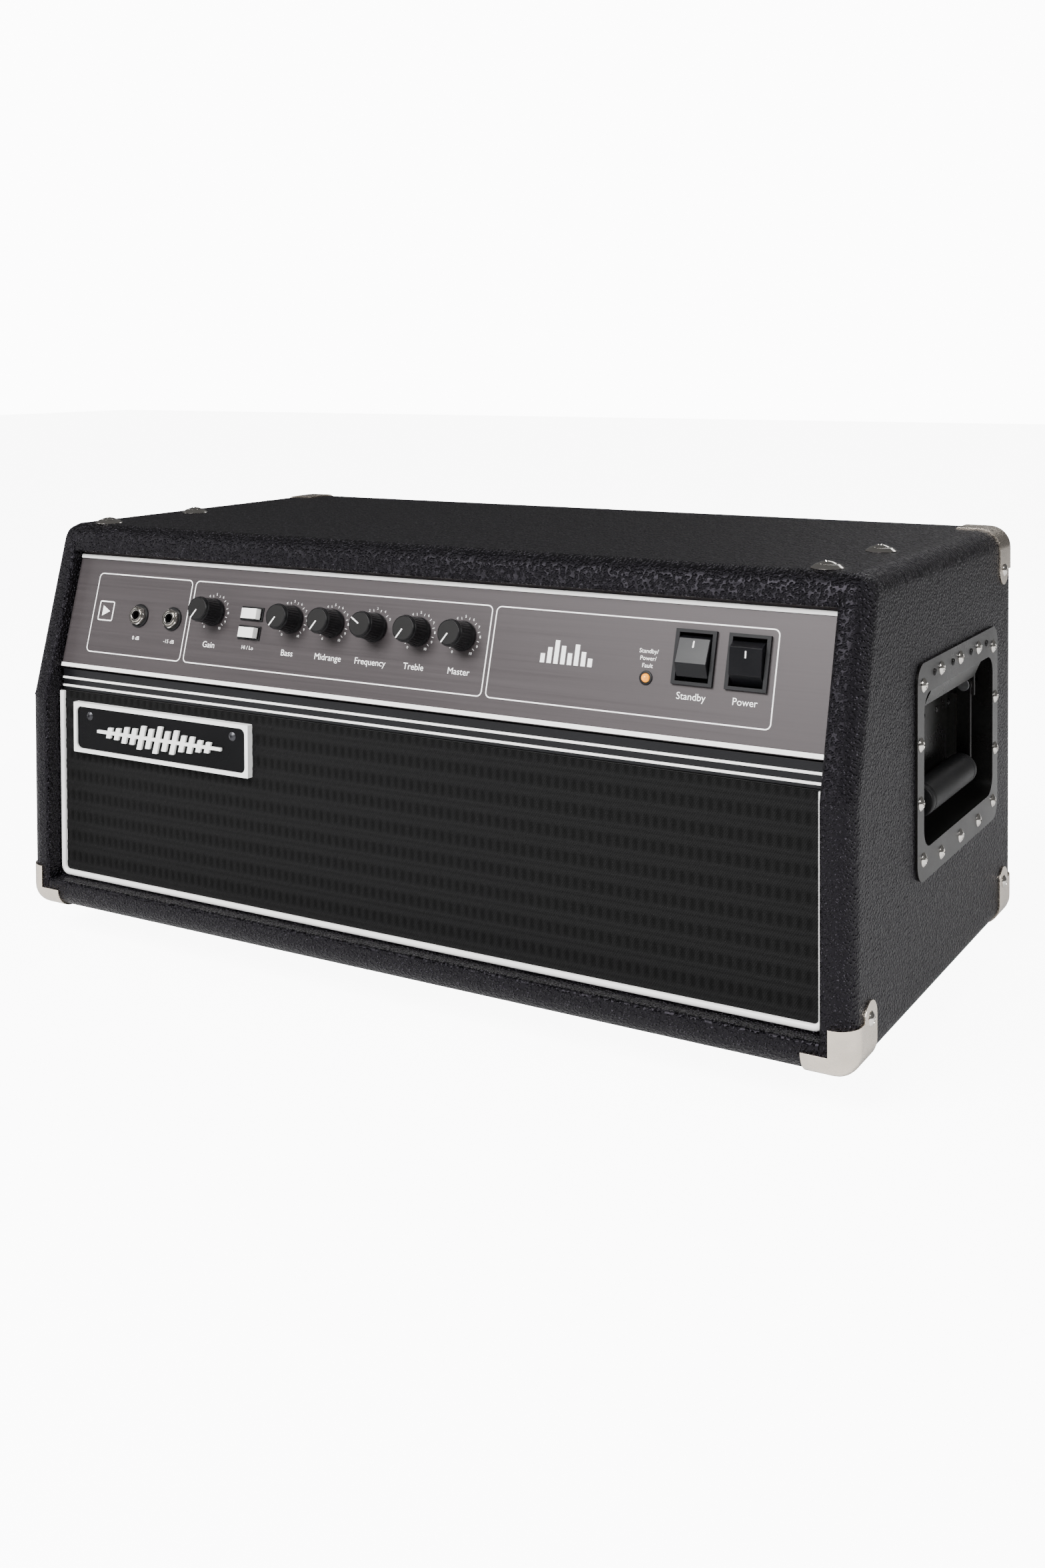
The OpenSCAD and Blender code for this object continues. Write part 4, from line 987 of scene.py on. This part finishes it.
def panelPrint():
    ink = {"lift": 0.06 * mm, "line": 0.75 * mm, "corner": 3.6 * mm, "label": 5.8 * mm,
        "small": 3.6 * mm, "dial": 2.3 * mm, "dialRadius": 12.2 * mm}
    bm = bmesh.new()
    for box in ((-265.2, 12.4, -177.8, 68.6), (-175.4, 12.4, 64.2, 68.6), (66.6, 12.4, 252.0,
            68.6)):
        outlineBand(bm, [v * mm for v in box], ink["line"], ink["corner"], ink["lift"])
    outlineBand(bm, [v * mm for v in (-260, 35, -246, 49)], 0.9 * mm, 1.5 * mm, ink["lift"])
    prism(bm, [(x * mm, s * mm) for x, s in ((-256.3, 38.3), (-249.4, 42), (-256.3, 45.7))], 0,
        ink["lift"])
    labels = [("0 dB", -221, 25.2, "small"), ("-15 dB", -190.6, 25.2, "small"), ("Hi / Lo", -121.6,
        26.8, "small"), ("Standby", 202, 26, "label"), ("Power", 235, 26, "label"), ("Standby/",
        172.7, 49.6, "small"), ("Power/", 172.7, 45.4, "small"), ("Fault", 172.7, 41.2, "small")]
    for text, node in zip(("Gain", "Bass", "Midrange", "Frequency", "Treble", "Master"), knobNodes):
        labels.append((text, panelSpot(node)[0] / mm, 26, "label"))
    for text, x, s, size in labels:
        addWords(bm, text, x * mm, s * mm, ink[size], ink["lift"])
    ticks = []
    for node in knobNodes:
        x, s = panelSpot(node)
        steps, edge = (5, 60) if node == "frequency_knob" else (11, 147)
        for i in range(steps):
            a = math.radians(-edge + 2 * edge * i / (steps - 1))
            spot = (x + ink["dialRadius"] * math.sin(a), s + ink["dialRadius"] * math.cos(a))
            addWords(bm, str(i + (1 if steps == 5 else 0)), *spot, ink["dial"], ink["lift"])
            if i < steps - 1:
                b = a + math.radians(edge / (steps - 1))
                r = ink["dialRadius"] - 0.9 * mm
                ticks.append(Matrix.Translation((x + r * math.sin(b), s + r * math.cos(b),
                    0)) @ Matrix.Rotation(-b, 4, "Z"))
    levels = [5.5, 9.5, 14.0, 11.0, 7.0, 12.5, 8.5, 5.0]
    for i, level in enumerate(levels):
        left = 101.5 + i * 4.6
        prism(bm, [((left + dx) * mm, (37.0 + dy) * mm) for dx, dy in ((0, 0), (3, 0), (3, level),
            (0, level))], 0, ink["lift"])
    addPiece("panelPrint", toMesh(bm, "panelPrint", panelMatrix, [printWhite]), "cabinet",
        flatten=False)
    bm = bmesh.new()
    prism(bm, [(x * mm, y * mm) for x, y in ((-0.14, -0.8), (0.14, -0.8), (0.14, 0.8), (-0.14,
        0.8))], 0, ink["lift"])
    places = [panelMatrix @ m for m in ticks]
    mesh = scatter("dialTicks", toMesh(bm, "tick"), places, printWhite)
    addPiece("dialTicks", mesh, "cabinet", flatten=False)


panelPrint()
nodes["control_panel"].data.materials.clear()
nodes["control_panel"].data.materials.append(brushedPanel)
print("panel printed")

def knobPiece(node):
    knob = {"flutes": 26, "fluteDepth": 0.28 * mm, "cap": 7.55 * mm, "pointer": 0.85 * mm}
    x, s = panelSpot(node)
    rest = math.radians(60 if node == "frequency_knob" else 147)
    at = onPanel(x, s) @ Matrix.Rotation(rest, 4, "Z")

    def flutes(a, r, z):
        swell = min(1.0, max(0.0, (z - 3.6 * mm) / (2 * mm)), max(0.0, (15 * mm - z) / (1 * mm)))
        return -knob["fluteDepth"] * swell * max(0.0, math.cos(a * knob["flutes"])) ** 2

    outline = [(0, 0.8), (9.2, 0.8), (9.4, 1.0), (9.4, 2.2), (9.15, 2.7), (8.9, 3.3), (8.75, 4.2),
        (8.6, 6), (8.45, 9), (8.32, 12), (8.24, 14), (8.2, 14.9), (8.2, 15.2), (8.45, 15.45), (8.5,
        15.75), (8.4, 16.05), (8.15, 16.3), (8.0, 17.2), (7.85, 17.85), (7.6, 18.2), (7.45, 18.25),
        (7.3, 18.0), (0, 18.0)]
    bm = bmesh.new()
    lathe(bm, [(r * mm, z * mm) for r, z in outline], 156, flutes)
    body = toMesh(bm, camel(node), at, [knobBlack, capGrey, printWhite])
    bm = bmesh.new()
    lathe(bm, [(0, 18.0 * mm), (7.25 * mm, 18.0 * mm), (7.2 * mm, 18.12 * mm), (0, 18.16 * mm)], 64)
    for face in bm.faces:
        face.material_index = 1
    count = len(bm.faces)
    half, outer = knob["pointer"] / 2, knob["cap"]
    prism(bm, [(-half, 0.6 * mm), (half, 0.6 * mm), (half, outer), (-half, outer)], 18.05 * mm,
        18.35 * mm)
    bm.faces.ensure_lookup_table()
    for face in bm.faces[count:]:
        face.material_index = 2
    bm.transform(at)
    bm.from_mesh(body)
    bpy.data.meshes.remove(body)
    faceOutward(bm)
    standIn(node, toMesh(bm, camel(node), materials=[knobBlack, capGrey, printWhite]), 30)


for node in knobNodes:
    knobPiece(node)
print("knobs made")

# hexagon nut facing +Z with a chamfered top
def hexRing(r, bore, h, ease):
    steps = 24

    def side(k, angle):
        flat = (angle + turn / 12) % (turn / 6) - turn / 12
        return k * math.cos(turn / 12) / math.cos(flat)

    def loop(radius, z, isRound):
        points = []
        for i in range(steps):
            a = turn * (i + 0.5) / steps
            k = radius if isRound else side(r, a)
            points.append(bm.verts.new((k * math.cos(a), k * math.sin(a), z)))
        return points
    bm = bmesh.new()
    loops = [loop(bore, 0, True), loop(r, 0, False), loop(r, h - ease, False), loop(r * 0.9 - ease,
        h, True), loop(bore + ease, h, True), loop(bore, h - ease, True)]
    for a, b in zip(loops, loops[1:] + loops[:1]):
        ribbon(bm, a, b)
    faceOutward(bm)
    return toMesh(bm, "hexRing")


def jackPieces():
    jack = {"bore": 3.25 * mm, "wall": 0.25 * mm, "depth": 17 * mm, "thread": 0.2 * mm}
    lowJack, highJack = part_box("jack_washers")
    washer = 8.1 * mm
    places = []
    for x in (lowJack.x + washer, highJack.x - washer):
        local = panelMatrix.inverted() @ Vector((x, (lowJack.y + highJack.y) / 2,
            (lowJack.z + highJack.z) / 2))
        places.append(onPanel(local.x, local.y))
    nuts = [m @ Matrix.Translation((0, 0, 1.4 * mm)) for m in places]
    repeated("jack_nuts", hexRing(7.2 * mm, 4.7 * mm, 2.6 * mm, 0.4 * mm), nuts, brightNickel,
        sharp=30, twist=0.5, seed=3)
    profile = [(4.72, 0), (8.0, 0), (8.1, 0.3), (8.05, 0.9), (7.6, 1.35), (4.72, 1.4), (4.72, 0)]
    repeated("jack_washers", turnedShape("jackWasher", profile, 48), places, plainBlack)
    refined("input_jacks", brightNickel, 0.25 * mm)
    refined("shaft_nuts", brightNickel)
    bm = bmesh.new()
    r, t = jack["bore"] - 0.02 * mm, jack["wall"]
    profile = [(0, -jack["depth"]), (r, -jack["depth"]), (r, 3.6 * mm), (r - t, 3.7 * mm), (r - t,
        -jack["depth"] + t), (0, -jack["depth"] + t)]
    lathe(bm, profile, 32)
    faceOutward(bm)
    throat = toMesh(bm, "throat")
    rearPlace = []
    lowOut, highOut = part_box("speaker_jacks")
    for x in (lowOut.x + 8 * mm, highOut.x - 8 * mm):
        rearPlace.append(facing((x, highOut.y - 4.6 * mm, (lowOut.z + highOut.z) / 2), (0, 1, 0)))
    mesh = scatter("jackThroats", throat, places + rearPlace, plainBlack)
    addPiece("jackThroats", mesh, "cabinet")
    refined("speaker_jacks", brightNickel, 0.25 * mm)


# short white bar printed on the rocker's face
def switchMark(node, tilt, pivot):
    x, s = panelSpot(node)
    at = onPanel(x, s, pivot) @ Matrix.Rotation(math.radians(tilt), 4, "X")
    bm = bmesh.new()
    outerRise, innerRise, run = 9.2, 9.6, 15.5
    slant = math.atan2(outerRise - innerRise, run)
    prism(bm, roundedRect(0.9 * mm, 4.2 * mm, 0.44 * mm, 3), 0, 0.1 * mm)
    face = Matrix.Translation((0, 5.6 * mm, 9.29 * mm)) @ Matrix.Rotation(slant, 4, "X")
    name = camel(node) + "Mark"
    addPiece(name, toMesh(bm, name, at @ face, [printWhite]), bodyOf[node],
        flatten=False)


jackPieces()
for node, tilt in (("standby_rocker", -10), ("power_rocker", 10)):
    refined(node, switchBlack, 0.55 * mm, 3)
    switchMark(node, tilt, -4 * mm)
refined("power_switch_housings", bezelBlack, 0.45 * mm, 2)
refined("tone_switch_housings", plainBlack, 0.25 * mm, 2)
for node in ("upper_tone_rocker", "lower_tone_rocker"):
    refined(node, whitePlastic, 0.4 * mm, 3)


def lampPieces():
    lamp = {"steps": 40}
    lowLamp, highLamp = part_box("lamp_bezel")
    local = panelMatrix.inverted() @ ((lowLamp + highLamp) / 2)
    at = onPanel(local.x, local.y)
    for node, finish, profile in (("lamp_lens", amberLens, [(0, -5.9), (2.55, -5.9), (2.58, 0.7),
            (2.45, 1.3), (2.1, 1.95), (1.5, 2.55), (0.8, 2.9), (0, 3.02)]), ("lamp_bezel",
            plainBlack, [(2.6, -4.9), (3.55, -4.9), (3.6, 0.02), (4.15, 0.02), (4.2, 0.2), (4.05,
            0.6), (3.7, 0.8), (2.85, 0.8), (2.6, 0.55), (2.6, -4.9)])):
        standIn(node, turnedShape(camel(node), profile, lamp["steps"], at, [finish]))


lampPieces()
print("switches and lamp made")

def handles():
    grip = {"radius": 10 * mm, "groove": 0.35 * mm}
    rivet = {"radius": 2.3 * mm, "height": 1.1 * mm}
    for node in ("left_dish", "right_dish"):
        refined(node, powderBlack, 0.5 * mm, 2, 40, 30)
    for node in ("left_bail", "right_bail"):
        refined(node, powderBlack, 0.7 * mm, 2)
    for node in ("left_grip", "right_grip"):
        lowGrip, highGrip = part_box(node)
        length = highGrip.y - lowGrip.y
        centre = (lowGrip + highGrip) / 2
        r, g = grip["radius"], grip["groove"]
        profile = [(4.1 * mm, 0), (r - 1.9 * mm, 0), (r - 0.7 * mm, 0.35 * mm), (r - 0.15 * mm,
            1.2 * mm), (r, 2.4 * mm)]
        for z in (5.0 * mm, 6.6 * mm):
            profile += [(r, z), (r - g, z + 0.25 * mm), (r - g, z + 0.55 * mm), (r, z + 0.8 * mm)]
        profile += [(rr, length - z) for rr, z in reversed(profile)]
        bm = bmesh.new()
        lathe(bm, profile + [profile[0]], 56)
        bmesh.ops.remove_doubles(bm, verts=bm.verts, dist=weld)
        faceOutward(bm)
        at = Matrix.Translation((centre.x, lowGrip.y, centre.z)) @ Matrix.Rotation(-turn / 4, 4,
            "X")
        standIn(node, toMesh(bm, camel(node), at, [gripRubber]), 40)
    bm = bmesh.new()
    k, h = rivet["radius"], rivet["height"]
    lathe(bm, [(0, -0.4 * mm), (k, -0.4 * mm), (k, 0), (0.93 * k, 0.4 * h), (0.7 * k, 0.78 * h),
        (0.35 * k, 0.97 * h), (0, h)], 16)
    places = []
    for side in (-1, 1):
        middle, w, high = dishFrame(side)
        for y in (-54, -16, 24, 60):
            places.append(facing(middle + Vector((0, y * mm, high / 2 - 8.7 * mm)), (side, 0, 0)))
        for i in range(-2, 3):
            places.append(facing(middle + Vector((-side * 23.5 * mm, i * 27 * mm, 16 * mm)), (side,
                0, 0)))
    faceOutward(bm)
    mesh = scatter("dishRivets", toMesh(bm, "rivet"), places, powderBlack)
    addPiece("dishRivets", mesh, "cabinet")
    refined("hinge_pins", darkSteel, 0.2 * mm)


handles()
print("handles made")

for piece in (("feet", footRubber, 0.5 * mm, 2), ("foot_screws", brightNickel), ("rear_panel",
        powderBlack), ("rear_cleats", bareWood, 0.6 * mm), ("fan_frame", plainBlack, 0.5 * mm),
        ("fan_rotor", plainBlack, 0.3 * mm), ("mains_inlet", bezelBlack, 0.5 * mm),
        ("potentiometers", canSteel, 0.3 * mm), ("rotary_switch", canSteel, 0.3 * mm),
        ("preamp_chassis", zincSteel), ("power_chassis", zincSteel, 0.4 * mm), ("power_transformer",
        laminations, 1.2 * mm, 3), ("output_transformer", laminations, 1.2 * mm, 3),
        ("filter_capacitors", blueSleeve), ("valve_sockets", glazedCeramic, 0.4 * mm),
        ("power_valves", valveGlass), ("preamp_valves", valveGlass)):
    refined(*piece)


# base and plate structure of every power valve, seen through the glass
def valveInsides():
    valve = {"pitch": 36.4 * mm}
    lowValve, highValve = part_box("power_valves")
    first, last = lowValve.x + valve["pitch"] / 2, highValve.x - valve["pitch"] / 2
    places = [Matrix.Translation((first + (last - first) * i / 5, (lowValve.y + highValve.y) / 2,
        lowValve.z)) for i in range(6)]
    for name, finish, profile in (("valveBases", plainBlack, [(0, 0.2), (15.6, 0.2), (15.9, 1),
            (15.9, 13), (15.2, 14), (0, 14)]), ("valvePlates", darkSteel, [(0, 24), (13, 24), (13.2,
            25), (13.2, 26), (9.6, 26.5), (9.6, 76), (13, 76.5), (13, 78), (0, 78)])):
        mesh = scatter(name, turnedShape(name + "Shape", profile, 24), places, finish)
        addPiece(name, mesh, "cabinet")


valveInsides()
print("rear and inside made")
